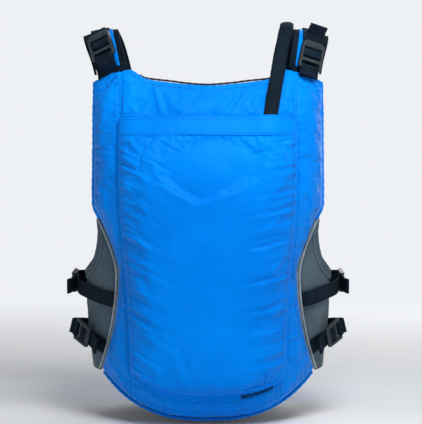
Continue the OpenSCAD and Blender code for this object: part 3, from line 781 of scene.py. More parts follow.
def neoprene(name):
    """Foam rubber under a fine black jersey."""
    tree, shader = surface(name, Roughness=0.85, Specular_IOR_Level=0.1)
    where, _ = tinted(tree, shader, "08131e", "12202e", 24)
    knit = combined(tree, "MULTIPLY", thread_waves(tree, "X", 0.0009), thread_waves(tree, "Y", 0.0012))
    soft = node(tree, "TexNoise", Vector=where, Scale=90, Detail=4)
    relief(tree, shader, knit, 0.12, 0.6, bump(tree, soft.outputs["Fac"], 0.7, 0.6))


def clear_film(name, tint, rough, solid):
    """Soft clear plastic; solid is the share that isn't see-through."""
    tree, shader = surface(name, Roughness=rough, IOR=1.45, Transmission_Weight=1 - solid)
    where, _ = tinted(tree, shader, tint, "dbe9ee", 22)
    crease = node(tree, "TexNoise", Vector=where, Scale=60, Detail=4, Distortion=1)
    relief(tree, shader, crease.outputs["Fac"], 0.8, 0.5)


def sewing_thread(name, dark, light):
    """Twisted polyester thread."""
    tree, shader = surface(name, Roughness=0.6, Specular_IOR_Level=0.15)
    tinted(tree, shader, dark, light, 400)
    relief(tree, shader, thread_waves(tree, "DIAGONAL", 0.0005), 0.1, 0.8)


BLUE_SHINE = "3f9fff"
woven("nylon", ("0078e0", "008af6"), 0.46, 0.0007, 0.05, 0.35, 0.0, 7, 150, BLUE_SHINE)
woven("pocket_nylon", ("0074dc", "0088f4"), 0.47, 0.0007, 0.05, 0.45, 0.0, 6, 130, BLUE_SHINE)
woven("knit", ("42535f", "566874"), 0.8, 0.0011, 0.12, 0.25, 0.05, 14, 220)
woven("trim", ("2a2426", "463a36"), 0.7, 0.001, 0.1, 0.1, 0.2, 60)
spacer_mesh("lining", "1a2733", "2c3d4b")
neoprene("neoprene")
webbing("webbing", "07131f", "122231")
moulded("plastic", "0f1b25", "1b2933", 0.42)
moulded("grey_plastic", "6d7a7c", "97a3a4", 0.45)
beaded("piping", "7e8c90", "aab6b8", 45, 2600, 0.05, Roughness=0.42, Metallic=0.35)
beaded("foam", "d8cfb2", "efe8d2", 40, 700, 0.3, Roughness=0.85)
clear_film("film", "a9cfe0", 0.18, 0.35)
clear_film("silicone", "8fa6ac", 0.35, 0.6)
sewing_thread("blue_thread", "00438c", "005aae")
sewing_thread("dark_thread", "10161c", "28323a")
sewing_thread("grey_thread", "27323a", "3a474f")


# ---------------------------------------------------------------- stitches
def tree_of(obj):
    graph = bpy.context.evaluated_depsgraph_get()
    return BVHTree.FromObject(obj.evaluated_get(graph), graph)


LIFT_OFF = 60  # how far outside its surface a line of stitches starts


def laid_on(tree, line, towards):
    """Points of a line dropped onto a surface, with its normals; line and towards are arrays."""
    points, normals = [], []
    for p, d in zip(np.asarray(line, float), np.broadcast_to(towards, np.shape(line))):
        start = Vector(p - LIFT_OFF * d) * MM
        hit, normal, _, _ = tree.ray_cast(start, Vector(d))
        if hit is None:
            continue
        if normal.dot(Vector(d)) > 0:
            normal.negate()
        points.append(np.array(hit) / MM)
        normals.append(np.array(normal))
    return np.array(points), np.array(normals)


def stitch_parts(points, normals, length=3.0, gap=1.5, radius=0.42):
    """Row of stitches along points that lie on a surface."""
    run = lengths_of(points)
    parts = []
    ring = np.array(oval_profile(radius, radius * 0.75, 6))
    shares = np.array([0.3, 0.9, 1, 0.9, 0.3])
    for start in np.arange(0, run[-1] - length, length + gap):
        s = start + np.linspace(0, length, 5)
        line = np.stack([np.interp(s, run, points[:, k]) for k in range(3)], -1)
        up = unit(np.stack([np.interp(s, run, normals[:, k]) for k in range(3)], -1))
        rise = radius * np.array([-0.5, 0.35, 0.6, 0.35, -0.5])
        line = line + up * rise[:, None]
        along = unit(np.gradient(line, axis=0))
        parts.append(sweep_part(line, np.cross(up, along), np.array([ring * k for k in shares])))
    return parts


def over_panel(x, z, face):
    """Line outside the back (face 1) or the chest (face -1) for dropping stitches on it."""
    x, z = grids(x, z)
    return np.stack([x, face * np.full(x.shape, 160.0), z], -1)


def rows_on(rows, towards, *size):
    """Stitches along every row: the tree of a surface and a line above it."""
    parts = []
    for tree, line in rows:
        points, normals = laid_on(tree, line, towards)
        if len(points) > 3:
            parts += stitch_parts(points, normals, *size)
    return parts


# ---------------------------------------------------------------- back and chest panels
def panel_grid(count_u, count_v, ease=0.85):
    return np.meshgrid(spread(count_u, ease), (spread(count_v, ease) + 1) / 2)


def rim_pins(shape):
    pins = np.zeros(shape)
    pins[:2] = pins[-2:] = 1
    pins[:, :2] = pins[:, -2:] = 1
    return pins


def back_job():
    u, v = panel_grid(181, 191)
    x, z = back_spot(u, v)
    above = z - pocket_low_z(x)
    under = (np.abs(x) < seam_x(z) + 1) & (above > 0) & (z < MOUTH_Z - 6)
    hold = dome(u, v)
    creases = back_wrinkles(x, z) * hold ** 0.5 * np.where(under, 0.25, 1)
    points = skin(x, z, SHELL_GAP + SHELL_T + FOAM_T * hold + creases, 1)
    pins = rim_pins(x.shape)
    pins[under] = 1
    pins[(np.abs(np.abs(x) - seam_x(z)) < 1.6) & (above > 0)] = 1
    pins[np.abs(above + 1) < 1.2] = 1
    return points, pins, 0.035, 3.2, np.full(x.shape, 1.0)


def pocket_spot(u, v):
    x = u * seam_x(mix(2 * POCKET_RISE, MOUTH_Z - 1, v))
    return x, mix(pocket_low_z(x), MOUTH_Z - 1, v)


CHEST_POCKET_W = 92
CHEST_POCKET_LOW = 92
CHEST_POCKET_TOP = 232
ZIP_Z = 210
ZIP_R = 380
CAP_Z = 300  # height of the filler cap under the pocket


def pocket_job():
    u, v = panel_grid(151, 181, 0.7)
    x, z = pocket_spot(u, v)
    crease = np.maximum(pocket_wrinkles(x, z), -0.8)
    below = limit((MOUTH_Z - BAND_H + 3 - z) / 8)
    over_cap = np.exp(-(np.hypot(x, z - CAP_Z) / 32) ** 4)
    h = pocket_h(x, z) + 0.4 + (0.8 + 1.6 * over_cap) * below + crease * swell(u) ** 0.5 * below
    points = skin(x, z, h, 1)
    pins = rim_pins(x.shape)
    pins[z > MOUTH_Z - BAND_H - 1] = 1
    room = np.minimum(seam_x(z) - np.abs(x), z - pocket_low_z(x))
    return points, pins, 0.04, 4.2, np.clip(room * 0.12, 0.4, 3) * (1 - 0.9 * over_cap)


def chest_job():
    u, v = panel_grid(141, 151)
    x, z = front_spot(u, v)
    under = (np.abs(x) < CHEST_POCKET_W) & (z > CHEST_POCKET_LOW) & (z < CHEST_POCKET_TOP)
    hold = dome(u, v)
    creases = chest_wrinkles(x, z) * hold ** 0.5 * np.where(under, 0.2, 1)
    pins = rim_pins(x.shape)
    pins[under] = 1
    points = skin(x, z, SHELL_GAP + SHELL_T + FOAM_T * hold + creases, -1)
    return points, pins, 0.03, 2.6, np.full(x.shape, 0.8)


def chest_pocket_h(x, z):
    middle = (CHEST_POCKET_LOW + CHEST_POCKET_TOP) / 2
    return (front_shell_h(x, z) + SHELL_T + 1.4
            + 9 * swell(x / (CHEST_POCKET_W + 1)) * swell((z - middle) / 71))


def chest_pocket_job():
    u, v = panel_grid(111, 91, 0.7)
    x, z = CHEST_POCKET_W * u, mix(CHEST_POCKET_LOW, CHEST_POCKET_TOP, v)
    away = limit((np.abs(z - ZIP_Z) - 12) / 8)
    crease = puckers(CHEST_POCKET_W - np.abs(x), z, 7, 7, 0.8, 14)
    crease += puckers(z - CHEST_POCKET_LOW, x, 8, 7, 0.8, 15) + 0.6 * ripple(x, z, 30, 24, 16)
    h = chest_pocket_h(x, z) + 1.2 + np.maximum(crease, -0.6) * away
    pins = rim_pins(x.shape)
    pins[np.abs(z - ZIP_Z) < 14] = 1
    return skin(x, z, h, -1), pins, 0.025, 2.2, np.full(x.shape, 0.6)


back_sheet, pocket_sheet, chest_sheet, chest_pocket_sheet = settle(
    [back_job(), pocket_job(), chest_job(), chest_pocket_job()])


def cloth_slab(points, thickness):
    """Closed cloth from its outer face."""
    out = unit(np.cross(np.gradient(points, axis=1), np.gradient(points, axis=0)))
    out *= np.sign(np.sum(out * points * (1, 1, 0), -1, keepdims=True))
    return slab_part(points, points - out * thickness)


def edge_tube(line, across, rx, rz, pitch, seed):
    """Turned fabric edge: an oval tube that puckers where the stitches pull it in."""
    line = smooth_line(line, 4)
    run = lengths_of(line)
    swing = 1 + 0.1 * np.sin(2 * math.pi * run / pitch + 2 * drift(run, 30, seed))
    ring = np.array(oval_profile(rx, rz, 12))
    return sweep_part(line, across, ring * swing[:, None, None])


def back_shell():
    return piece("back_shell_panel", [cloth_slab(back_sheet, 1.2)], "nylon", "shell", "back_shell")


def back_pocket():
    x = np.linspace(-1, 1, 41) * seam_x(2 * POCKET_RISE)
    z = pocket_low_z(x)
    bottom = skin(x, z, pocket_h(x, z) + 0.5, 1)
    parts = [cloth_slab(pocket_sheet, 1.0), edge_tube(bottom, (0, 1, 0.2), 1.4, 1.9, 8.5, 31)]
    z = np.linspace(2 * POCKET_RISE + 2, MOUTH_Z - 2, 44)
    for side in (-1, 1):
        x = side * seam_x(z)
        parts.append(edge_tube(skin(x, z, pocket_h(x, z) + 0.4, 1), (0, 1, 0), 1.5, 1.3, 6.8, 32))
    return piece("pocket_panel", parts, "pocket_nylon", "shell", "back_pocket")


def mouth_band():
    """Folded band round the pocket mouth, with its rolled top edge."""
    u, v = np.meshgrid(spread(131, 0.5), np.linspace(0, 1, 17))
    x = u * seam_x(MOUTH_Z)
    z = mix(MOUTH_Z - BAND_H, MOUTH_Z, v) + 0.7 * drift(x, 40, 33)
    pull = puckers(z - (MOUTH_Z - BAND_H), x, 8, 8, 0.35, 34) + 0.5 * ripple(x, z, 30, 20, 35)
    puff = 1.3 * np.sin(math.pi * v ** 1.3) ** 0.6
    h = pocket_h(x, np.minimum(z, MOUTH_Z)) + 1.7 + np.maximum(pull, -0.3) + puff
    outer = skin(x, z, h, 1)
    roll = edge_tube((outer[-1] - (0, 0.5, 0))[::3], (0, 0, 1), 1.3, 1.4, 12, 36)
    parts = [slab_part(outer, skin(x, z, h - 1.6, 1)), roll]
    return piece("mouth_band", parts, "pocket_nylon", "shell", "pocket_mouth_band")


def drain_mesh():
    """Open net in the slot under the pocket."""
    parts = []

    def knot(x, low):
        z = pocket_low_z(x) - low
        return skin(x, z, back_shell_h(x, z) + SHELL_T + 1.9, 1)

    for x in np.arange(-83, -43, 1.9):
        parts.append(rod_part(knot(x, 8), knot(x + 0.9, 1.2), 0.32, 6))
    for low in (1.4, 3.2, 5.0, 6.8, 8.2):
        line = knot(np.linspace(-84, -42, 24), low)
        parts.append(sweep_part(line, (0, 1, 0.3), oval_profile(0.36, 0.3, 6)))
    piece("drain_net", parts, "webbing", "binding", "pocket_drain_mesh", soft=False)


def lining(name, spot, face):
    u, v = np.meshgrid(spread(61, 0.6), np.linspace(0, 1, 61))
    x, z = spot(u, v)
    quilt = 0.35 * np.sin(2 * math.pi * x / 24) ** 2 * dome(u, v)
    part = slab_part(skin(x, z, 1.2, face), skin(x, z, -0.2 - quilt, face))
    piece(name + "_mesh", [part], "lining", "lining", name, soft=False)


def foam_slab(name, spot, face):
    """Closed-cell foam scored with shallow grooves so that it bends round the torso."""
    u, v = panel_grid(91, 101)
    inset = 0.94
    x, z = spot(inset * u, mix(1 - inset, inset, v))
    groove = sum(bell((z - level) / 2.2) for level in (110, 200, 290, 370))
    thick = 5 + (FOAM_T - 4) * dome(u, v)
    outer = skin(x, z, np.maximum(thick - 3.5 * groove * swell(u), 4.2), face)
    piece(name + "_slab", [slab_part(outer, skin(x, z, 3, face))], "foam", "foam", name, soft=False)


def hem(name, spot, face, material, v, lift, h, size, reach, slot, seed):
    """Bound edge along the bottom (v 0) or the top (v 1) of a panel."""
    u = np.linspace(-reach, reach, 61)
    x, z = spot(u, np.full(u.shape, float(v)))
    line = skin(x, z + lift + 0.5 * drift(x, 30, seed), h, face)
    tube = edge_tube(line, (0, 1, 0.1), size * 1.35, size * 1.1, 9, seed + 1)
    piece(name + "_edge", [tube], material, slot, name + "_binding")


# ---------------------------------------------------------------- sides
ARMHOLE_LOW = 186


def side_spot(u, v):
    low = HEM_RISE - 4 + 6 * u * (1 - u)
    rise = np.where(u < 0.5, 72 * np.abs(1 - 2 * u) ** 2.4, 40 * np.abs(2 * u - 1) ** 2.4)
    z = mix(low, ARMHOLE_LOW + rise, v)
    start = back_angle(edge_x(z) + 2.4, z, 2)
    end = 180 - back_angle(front_edge_x(z) + 1.6, z, 2)
    return mix(start, end, u), z


def side_panel(side):
    """Stretch panel; its armhole edge is turned over and twin stitched."""
    word = WORD[side]
    u, v = np.meshgrid(np.linspace(0, 1, 91), np.linspace(0, 1, 91))
    angle, z = side_spot(u, v)
    strain = sum(1.1 * bell((z - level - 8 * (u - 0.4)) / 15) for level in (158, 96))
    strain = strain * np.sin(2 * math.pi * (z + 12 * u) / 13)
    wave = 1.0 * ripple(u * 60, z, 16, 24, 40 + side) + 0.6 * strain
    h = 3 + wave * np.sin(math.pi * u) * limit(np.minimum(v, 1 - v) * 8)
    outer, inner = around(angle, z, np.maximum(h, 1.9)), around(angle, z, 0.8 + 0 * z)
    edge = outer[-1]
    roll = edge_tube(edge[::4] - (0, 0, 1.0), (0, 0, 1), 2.0, 1.6, 11, 41)
    turned = [around(angle[-9:], z[-9:], h[-9:] + lift) for lift in (1.0, 0.1)]
    parts = [slab_part(outer, inner), roll, slab_part(*turned)]
    name = "side_panel_" + word
    return piece(name + "_knit", parts, "knit", "panel", name, side=side)


def piping(side):
    word = WORD[side]
    z = np.linspace(HEM_RISE, 256, 46)
    line = skin(edge_x(z) + 3.5, z, 5.4, 1)
    cord = edge_tube(line, (1.3, 0.2, 1.1), 1.7, 1.7, 14, 42)
    flange_line = smooth_line(line, 3) - (1.6, 0.8, 0)
    flange = sweep_part(flange_line, (1, -0.4, 0.2), oval_profile(2.2, 0.6, 10))
    name = "piping_" + word
    piece(name, [cord, flange], "piping", "piping", "back_" + name, side=side, soft=False)


def armhole_edge(side):
    word = WORD[side]
    z = np.linspace(256, 439, 30)
    back = skin(edge_x(z) + 0.6 + 0.5 * drift(z, 26, 43), z, 4.6, 1)
    z = np.linspace(230, 436, 32)
    chest = skin(front_edge_x(z) + 0.6, z, 4.6, -1)
    parts = [edge_tube(line, (1.3, 0.2, 1.1), 2.4, 3.2, 10, seed) for line, seed in ((back, 44), (chest, 45))]
    piece("armhole_edge_" + word, parts, "nylon", "shell", "armhole_binding_" + word, side=side)


# ---------------------------------------------------------------- straps
def spot_of(before, point, after, across):
    along = unit(np.asarray(after, float) - before)
    across = np.asarray(across, float)
    side = unit(across - np.dot(across, along) * along)
    return np.asarray(point, float), along, side, np.cross(along, side)


def lifted(spot, h):
    return (spot[0] + h * spot[3],) + spot[1:]


def arch_point(t, lean):
    return np.array([STRAP_X + lean * sin_d(t), ARCH_Y * signed_pow(cos_d(t), 2 / ARCH),
                     ARCH_Z + ARCH_H * signed_pow(sin_d(t), 2 / ARCH)])


def arch_across(t):
    return np.array([1, -0.45 * cos_d(t), -0.2 * sin_d(t)])


def arch_spot(t, lean):
    return spot_of(arch_point(t - 1, lean), arch_point(t, lean), arch_point(t + 1, lean), arch_across(t))


LOCK_LIFT = 11.6
SHOULDERS = {  # lean of the arch, place of the buckle on it, free tail and its rise
    1: (18, 15, 5, 0),
    -1: (12, 5, 20, 8),
}
UPPER_SIDE = (150, 172, 103, 13)  # height at the back, height at the bar, bar angle, stand-off
LOWER_SIDE = (87, 108, 80, 9)
STRAP_H = 5.2


def shoulder_lock(side):
    lean, bar_t, _, _ = SHOULDERS[side]
    start, end = arch_point(bar_t, lean), arch_point(bar_t + 27, lean)
    return lifted(spot_of(start, start, end, arch_across(bar_t)), LOCK_LIFT)


def side_point(s, spec):
    z = mix(spec[0], spec[1], s)
    start = back_angle(edge_x(spec[0]) + 5, spec[0], STRAP_H)
    return around(mix(start, spec[2], s), z, STRAP_H + spec[3] * ramp(s, 0.3, 0.95))


def lock_end(spec):
    return 1 - 38 / np.linalg.norm(side_point(1, spec) - side_point(0, spec))


def side_lock(spec):
    start, end = side_point(1, spec), side_point(lock_end(spec), spec)
    return lifted(spot_of(start, start, end, (0, 0, 1)), 6.4)


def local(lock, x, z):
    """World spot at x along and z out from a buckle's bar."""
    return (lock[0] + x * lock[1] + z * lock[3],) + lock[1:]


def ribbon_part(spots, width, thick=WEB_T, steps=6):
    """Webbing along a list of spots, which lie on its middle."""
    knots = [np.concatenate([s[0], s[2]]) for s in spots]
    line = smooth_line(knots, steps)
    return sweep_part(line[:, :3], line[:, 3:], strap_profile(width, -thick / 2, thick / 2))


def ladder_lock_part(web):
    """Moulded ladder-lock buckle in its own coordinates: x along, y across, z out."""
    inner = web / 2 + 0.8
    rail = 4
    parts = []
    outline = [(2.2 * cos_d(a), 2.2 * sin_d(a)) for a in range(90, 271, 20)]
    outline += [(30 + 3.2 * cos_d(a), 1 + 3.2 * sin_d(a)) for a in range(-90, 91, 20)]
    for side in (-1, 1):
        points, faces, uv = prism_part(outline, 0, rail)
        x, z, y = points[:, 0], points[:, 1], points[:, 2]
        slim = (1.5 * ramp(x, 12, 32) + 1.6 * limit(-x / 2.2) ** 2) * (y / rail)
        parts.append((np.stack([x, side * (inner + y - slim), z], -1), faces, uv))
    reach = inner + 1
    parts.append(rod_part((0, -reach, 0), (0, reach, 0), 2, 16))
    parts.append(block_part((8, -reach, -1.4), (12, reach, 1.4)))
    parts.append(block_part((17.5, -reach, -1.6), (22, reach, 1.6)))
    tab = [(27, -reach), (33.6, -reach + 0.8), (34.6, -reach + 2.6),
           (34.6, reach - 2.6), (33.6, reach - 0.8), (27, reach)]
    parts.append(prism_part(tab, 0.7, 3.2))
    parts.append(rod_part((34, -reach + 1.6, 2.3), (34, reach - 1.6, 2.3), 1.8, 14))
    for x in (28.3, 29.9, 31.5):
        parts.append(rod_part((x, -reach + 2.5, 3.25), (x, reach - 2.5, 3.25), 0.5, 8))
    for k in range(9):
        y = mix(-inner + 1.4, inner - 1.4, k / 8)
        parts.append(block_part((21.4, y - 0.5, 0.6), (22.7, y + 0.5, 1.9)))
    return parts


def ladder_lock(name, lock, web, side, body, node_name):
    parts = [moved(part, lock) for part in ladder_lock_part(web)]
    rounded(piece(name, parts, "plastic", "buckle", node_name, side=side, body=body, soft=False), 0.55, 3)


def lock_tail(name, lock, web, reach, rise, side, body, node_name):
    """Webbing that turns over the grip bar and runs on as a free tail with a folded, sewn end."""
    line = [(14.6, -2.6), (14.7, -0.6), (14.9, 1.3), (16.2, 2.75), (19.7, 2.9), (23.2, 2.7),
            (24.7, 1.2), (26, -0.5), (30, -0.6), (36, -0.5), (36 + reach / 2, rise / 4),
            (36 + reach, rise)]
    spots = [local(lock, x, z) for x, z in line]
    parts = [ribbon_part(spots, web)]
    if reach > 10:
        back = [(36 + reach, rise), (36.9 + reach, rise + 1.2), (36 + reach, rise + 2.1),
                (36 + reach * 0.78, rise * 0.62 + 1.9), (36 + reach * 0.6, rise * 0.36 + 1.6)]
        parts.append(ribbon_part([local(lock, x, z) for x, z in back], web))
    piece(name, parts, "webbing", "webbing", node_name, side=side, body=body)


def bar_loop(lock):
    """Webbing round the anchor bar: up one side and back down the other."""
    arc = [(3.1 * cos_d(a), 3.1 * sin_d(a)) for a in range(-125, 126, 25)]
    return [local(lock, x, z) for x, z in [(-12, -0.9), (-7, -1.1)] + arc + [(-7, 1.0), (-12, 0.7)]]


def skin_spot(x, z, h, face, up=1):
    point = skin(x, z, h, face)
    return spot_of(skin(x, z - 4 * up, h, face), point, skin(x, z + 4 * up, h, face),
                   skin(x + 5, z, h, face) - skin(x - 5, z, h, face))


def shoulder_pad(side):
    """Curved neoprene pad with bound edges; the inside of the bend is slightly crumpled."""
    name = "shoulder_pad_" + WORD[side]
    lean = SHOULDERS[side][0]
    angles = np.linspace(-2, 182, 70)
    spots = [arch_spot(t, lean) for t in angles]
    line = np.array([s[0] for s in spots])
    rings = []
    for t in angles:
        width = (PAD_W - 1) / 2 * (1 - 0.16 * ramp(abs(t - 90), 70, 86))
        crumple = 0.5 * math.sin(t * 0.9) * (0.4 + 0.6 * math.sin(t * 0.21))
        thick = [PAD_T / 2 * (1 if sin_d(a) > 0 else 1 + 0.12 * crumple) for a in range(0, 360, 12)]
        rings.append([(width * signed_pow(cos_d(a), 0.55), h * signed_pow(sin_d(a), 0.8))
                      for a, h in zip(range(0, 360, 12), thick)])
    parts = [sweep_part(line, np.array([s[2] for s in spots]), np.array(rings))]
    for edge in (-1, 1):
        rim = np.array([s[0] + s[2] * edge * (PAD_W / 2 - 1.2) for s in spots[2:-2]])
        parts.append(sweep_part(rim, np.array([s[3] for s in spots[2:-2]]), oval_profile(2.6, 1.5, 12)))
    strip = [lifted((s[0] - 14 * s[2],) + s[1:], PAD_T / 2) for s in spots[3:-3:3]]
    piece(name + "_cover", [ribbon_part(strip, 6, 1.2)], "nylon", "pad", name, side=side)
    piece(name + "_neoprene", parts, "neoprene", "pad", name, side=side)


def shoulder_strap(side):
    """Load webbing from the chest over the pad into the buckle."""
    word = WORD[side]
    lean, bar_t, _, _ = SHOULDERS[side]
    lock = shoulder_lock(side)
    spots = [local(lock, x, z) for x, z in ((14.9, -2.2), (16, -3.3), (20, -3.5), (28, -3.5), (38, -3.5))]
    spots += [lifted(arch_spot(t, lean), 6.1) for t in np.arange(bar_t + 42, 169, 9)]
    for z in (440, 430, 420):
        h = front_shell_h(STRAP_X - 4, z) + SHELL_T + 1.6
        spots.append(lifted(skin_spot(STRAP_X - 4, z, h, -1, -1), 1.3))
    name = "shoulder_webbing_" + word
    obj = piece(name + "_strap", [ribbon_part(spots, SHOULDER_WEB)], "webbing", "webbing", name,
                side=side, body=None)
    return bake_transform(obj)


def shoulder_anchor(side):
    name = "shoulder_anchor_" + WORD[side]
    lock = shoulder_lock(side)
    sewn = [skin_spot(STRAP_X - 2, z, 2.1, 1) for z in (428, 436, 444)]
    back = [lifted(s, 1.4) for s in (sewn[2], sewn[1])]
    spots = sewn + bar_loop(lock) + back
    piece(name + "_loop", [ribbon_part(spots, SHOULDER_WEB, 1.3)], "webbing", "webbing", name, side=side)


def side_strap_part(spec):
    lock = side_lock(spec)
    spots = [local(lock, x, z) for x, z in ((14.9, -2.2), (16, -3.3), (20, -3.5), (28, -3.5), (36, -3.5))]
    for s in np.linspace(lock_end(spec) - 0.1, 0, 7):
        near = [side_point(s + step, spec) for step in (0.02, 0, -0.02)]
        spots.append(lifted(spot_of(*near, (0, 0, 1)), 1.4))
    return ribbon_part(spots, SIDE_WEB)


def side_anchor_part(spec):
    lock = side_lock(spec)
    reach, z = 118, spec[1]
    spots = []
    for angle in (reach + 10, reach + 4):
        x = around(angle, z, 1)[0]
        h = front_shell_h(x, z) + SHELL_T + 3
        near = [skin(x + step, z, h, -1) for step in (-4, 0, 1)]
        spots.append(lifted(spot_of(*near, (0, 0, 1)), 1.3))
    for angle in range(reach - 9, int(spec[2]) + 11, -6):
        near = [around(angle + step, z, 7) for step in (1, 0, -1)]
        spots.append(lifted(spot_of(*near, (0, 0, 1)), 0.7))
    loop = bar_loop(lock)[1:]
    doubled = [lifted(s, 1.5) for s in reversed(spots[-1:])]
    return ribbon_part(spots + loop + doubled, SIDE_WEB, 1.3)


def side_webbing(name, part_of, node_name):
    parts = [part_of(spec) for spec in (UPPER_SIDE, LOWER_SIDE)]
    parts += [mirrored(part) for part in parts]
    piece(name, parts, "webbing", "webbing", node_name)


def all_buckles():
    for side, word in WORD.items():
        sets = [("shoulder", shoulder_lock(side), SHOULDER_WEB, *SHOULDERS[side][2:]),
                ("upper", side_lock(UPPER_SIDE), SIDE_WEB, 26, 5),
                ("lower", side_lock(LOWER_SIDE), SIDE_WEB, 26, 5)]
        for level, lock, web, reach, rise in sets:
            body = level + "_adjuster_" + word
            ladder_lock(level + "_lock_" + word, lock, web, side, body, level + "_buckle_" + word)
            lock_tail(level + "_free_end_" + word, lock, web, reach, rise, side, body,
                      level + "_tail_" + word)


# ---------------------------------------------------------------- drinking system
def hose_line():
    def on_back(x, z):
        return skin(x, z, back_shell_h(x, z) + SHELL_T + 1.2 + HOSE_RZ, 1)

    def on_arch(t, x):
        spot = arch_spot(t, SHOULDERS[-1][0])
        return np.array([x, spot[0][1], spot[0][2]]) + spot[3] * (0, 1, 1) * (PAD_T / 2 + 5 + HOSE_RZ)

    end_y = hose_end_y()
    knots = [on_back(-72, 340), on_back(-80, 386), on_back(-85, 416), on_back(-89, 436) + (0, 3, 0),
             on_arch(22, -97), on_arch(50, -104), on_arch(90, -108), on_arch(130, -106),
             on_arch(157, -101), (HOSE_END_X, end_y + 3, 432), (HOSE_END_X, end_y, 412),
             (HOSE_END_X, end_y, KEEPER_Z)]
    return smooth_line(np.array(knots), 10)


def hose_end_y():
    h = front_shell_h(HOSE_END_X, 350) + SHELL_T + 1.5 + HOSE_RX
    return skin(HOSE_END_X, 350, h, -1)[1] - 2


def hose_blend(obj):
    """Placement baked into the mesh; the points above and below the keeper are worked out but not used."""
    top, low = (Vector((HOSE_END_X, hose_end_y(), KEEPER_Z + lift)) * MM for lift in (3, -12))
    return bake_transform(obj)


def hose_sleeve():
    """Fabric sleeve from the pocket to the bite valve, flat on the shoulder and round at its end."""
    line = hose_line()
    down = np.arange(KEEPER_Z - 3, HOSE_END_Z, -3)
    drop = np.stack([np.full(down.shape, HOSE_END_X), np.full(down.shape, hose_end_y()), down], -1)
    line = np.concatenate([line, drop])
    run = lengths_of(line)
    dense = np.arange(0, run[-1], 2.2)
    line = np.stack([np.interp(dense, run, line[:, k]) for k in range(3)], -1)
    below = ramp(run[-1] - dense, 78, 62)
    squeeze = 0.035 * drift(dense, 24, 50) - 0.02
    rings = []
    for flat, gather, place in zip(below, squeeze, dense):
        ring = []
        for a in range(0, 360, 15):
            r = 1 + gather + 0.012 * math.sin(place * 0.5 + 2 * math.sin(math.radians(a) * 2))
            ring.append((mix(HOSE_RX, HOSE_RX - 1.5, flat) * r * cos_d(a),
                         mix(HOSE_RZ, HOSE_RX - 1.5, flat) * r * signed_pow(sin_d(a), 0.8)))
        rings.append(ring)
    sleeve = sweep_part(line, (-1, 0, 0), np.array(rings))
    seam_up = np.cross(unit(np.gradient(line, axis=0)), (-1, 0, 0))
    height = mix(HOSE_RZ, HOSE_RX - 1.5, below)[:, None] + 0.25
    seam = sweep_part(line[4:-3] + (unit(seam_up) * height)[4:-3], (-1, 0, 0), oval_profile(1.5, 0.5, 8))
    hose_blend(piece("hose_cover", [sleeve, seam], "neoprene", "binding", "hose_sleeve",
                     "hose_end_sleeve", body=None))


def drinking_tube():
    down = range(KEEPER_Z - 6, HOSE_END_Z + 9, -6)
    line = np.concatenate([hose_line()[::2], [(HOSE_END_X, hose_end_y(), z) for z in down]])
    part = sweep_part(line, (-1, 0, 0), oval_profile(3.4, 3.4, 12))
    hose_blend(piece("drinking_hose", [part], "silicone", "bladder", "drinking_tube", body=None, soft=False))


def bite_valve():
    """Ribbed collar, elbow and soft mouthpiece with its slit."""
    centre = np.array([HOSE_END_X, hose_end_y(), HOSE_END_Z])
    collar = [(0, -14.2), (4.6, -14.2), (5.8, -13)]
    for k in range(5):
        z = -12 + 2.3 * k
        collar += [(6.0, z), (6.0, z + 1.3), (5.4, z + 1.6), (5.4, z + 2.0)]
    collar += [(4.1, -0.6), (4.1, 11), (0, 11)]
    elbow = [(0, 0), (4.6, 0), (5, 1), (5, 11), (5.6, 11.6), (5.6, 13), (5, 13.6), (5, 16), (0, 16)]
    mouth = [(0, 15.4), (6.6, 15.4), (7.5, 16.4), (7.5, 18), (6.7, 19), (6.6, 22), (7.1, 24.6),
             (7.2, 26.2), (6.2, 27.6), (4, 28), (0.6, 27.4), (0, 27.2)]
    at = centre + (0, 0, -8)
    slit = rod_part(at + (-3.4, -27.7, 0), at + (3.4, -27.7, 0), 0.6)
    hard = [lathe_part(collar, centre, (0, 0, 1)), lathe_part(elbow, at, (0, -1, 0))]
    soft = [lathe_part(mouth, at, (0, -1, 0)), slit]
    piece("valve_body", hard, "grey_plastic", "valve", "bite_valve", body="valve", edge=0.25)
    piece("valve_mouthpiece_silicone", soft, "silicone", "valve", body="valve")


def hose_keeper():
    """Elastic loop that holds the hose against the chest."""
    angles = np.radians(np.arange(0, 360, 10))
    loop = np.stack([11 * signed_pow(np.cos(angles), 0.8), 2.5 - 8.6 * signed_pow(np.sin(angles), 0.8),
                     0 * angles], -1) + (HOSE_END_X, hose_end_y(), KEEPER_Z + 14)
    band = sweep_part(loop, (0, 0, 1), strap_profile(10, -0.7, 0.7), closed=True)
    piece("hose_loop", [band], "webbing", "webbing", "hose_keeper")


def water_bladder():
    """Welded film pouch with its flat rim, crowned where it holds water."""
    u, v = panel_grid(71, 91, 0.5)
    x, z = 60 * u, mix(84, 336, v)
    full = limit((1 - np.abs(u)) * 9) * limit((1 - np.abs(2 * v - 1)) * 14)
    sag = 0.5 * ripple(x, z, 22, 30, 51) * full
    base = back_shell_h(x, z) + SHELL_T + 1.4
    outer = skin(x, z, base + 1 + np.maximum(0, 6 * dome(u, v) ** 0.6 + sag) * full, 1)
    piece("water_pouch", [slab_part(outer, skin(x, z, base, 1))], "film", "bladder", "water_bladder")


def bladder_hanger():
    spots = [skin_spot(0, z, back_shell_h(0, z) + SHELL_T + 1.5, 1) for z in np.arange(338, 381, 7)]
    piece("pouch_hanger", [ribbon_part(spots, 14, 1.2)], "webbing", "webbing", "bladder_hanger")


def kept_cad():
    """CAD solids whose shape is right: they only get a finish and softened edges."""
    for name, material in (("bladder_cap", "grey_plastic"), ("accessory_ring", "plastic")):
        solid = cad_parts[name]
        solid.data.materials.clear()
        solid.data.materials.append(materials[material])
        rounded(solid, 0.6, 3)


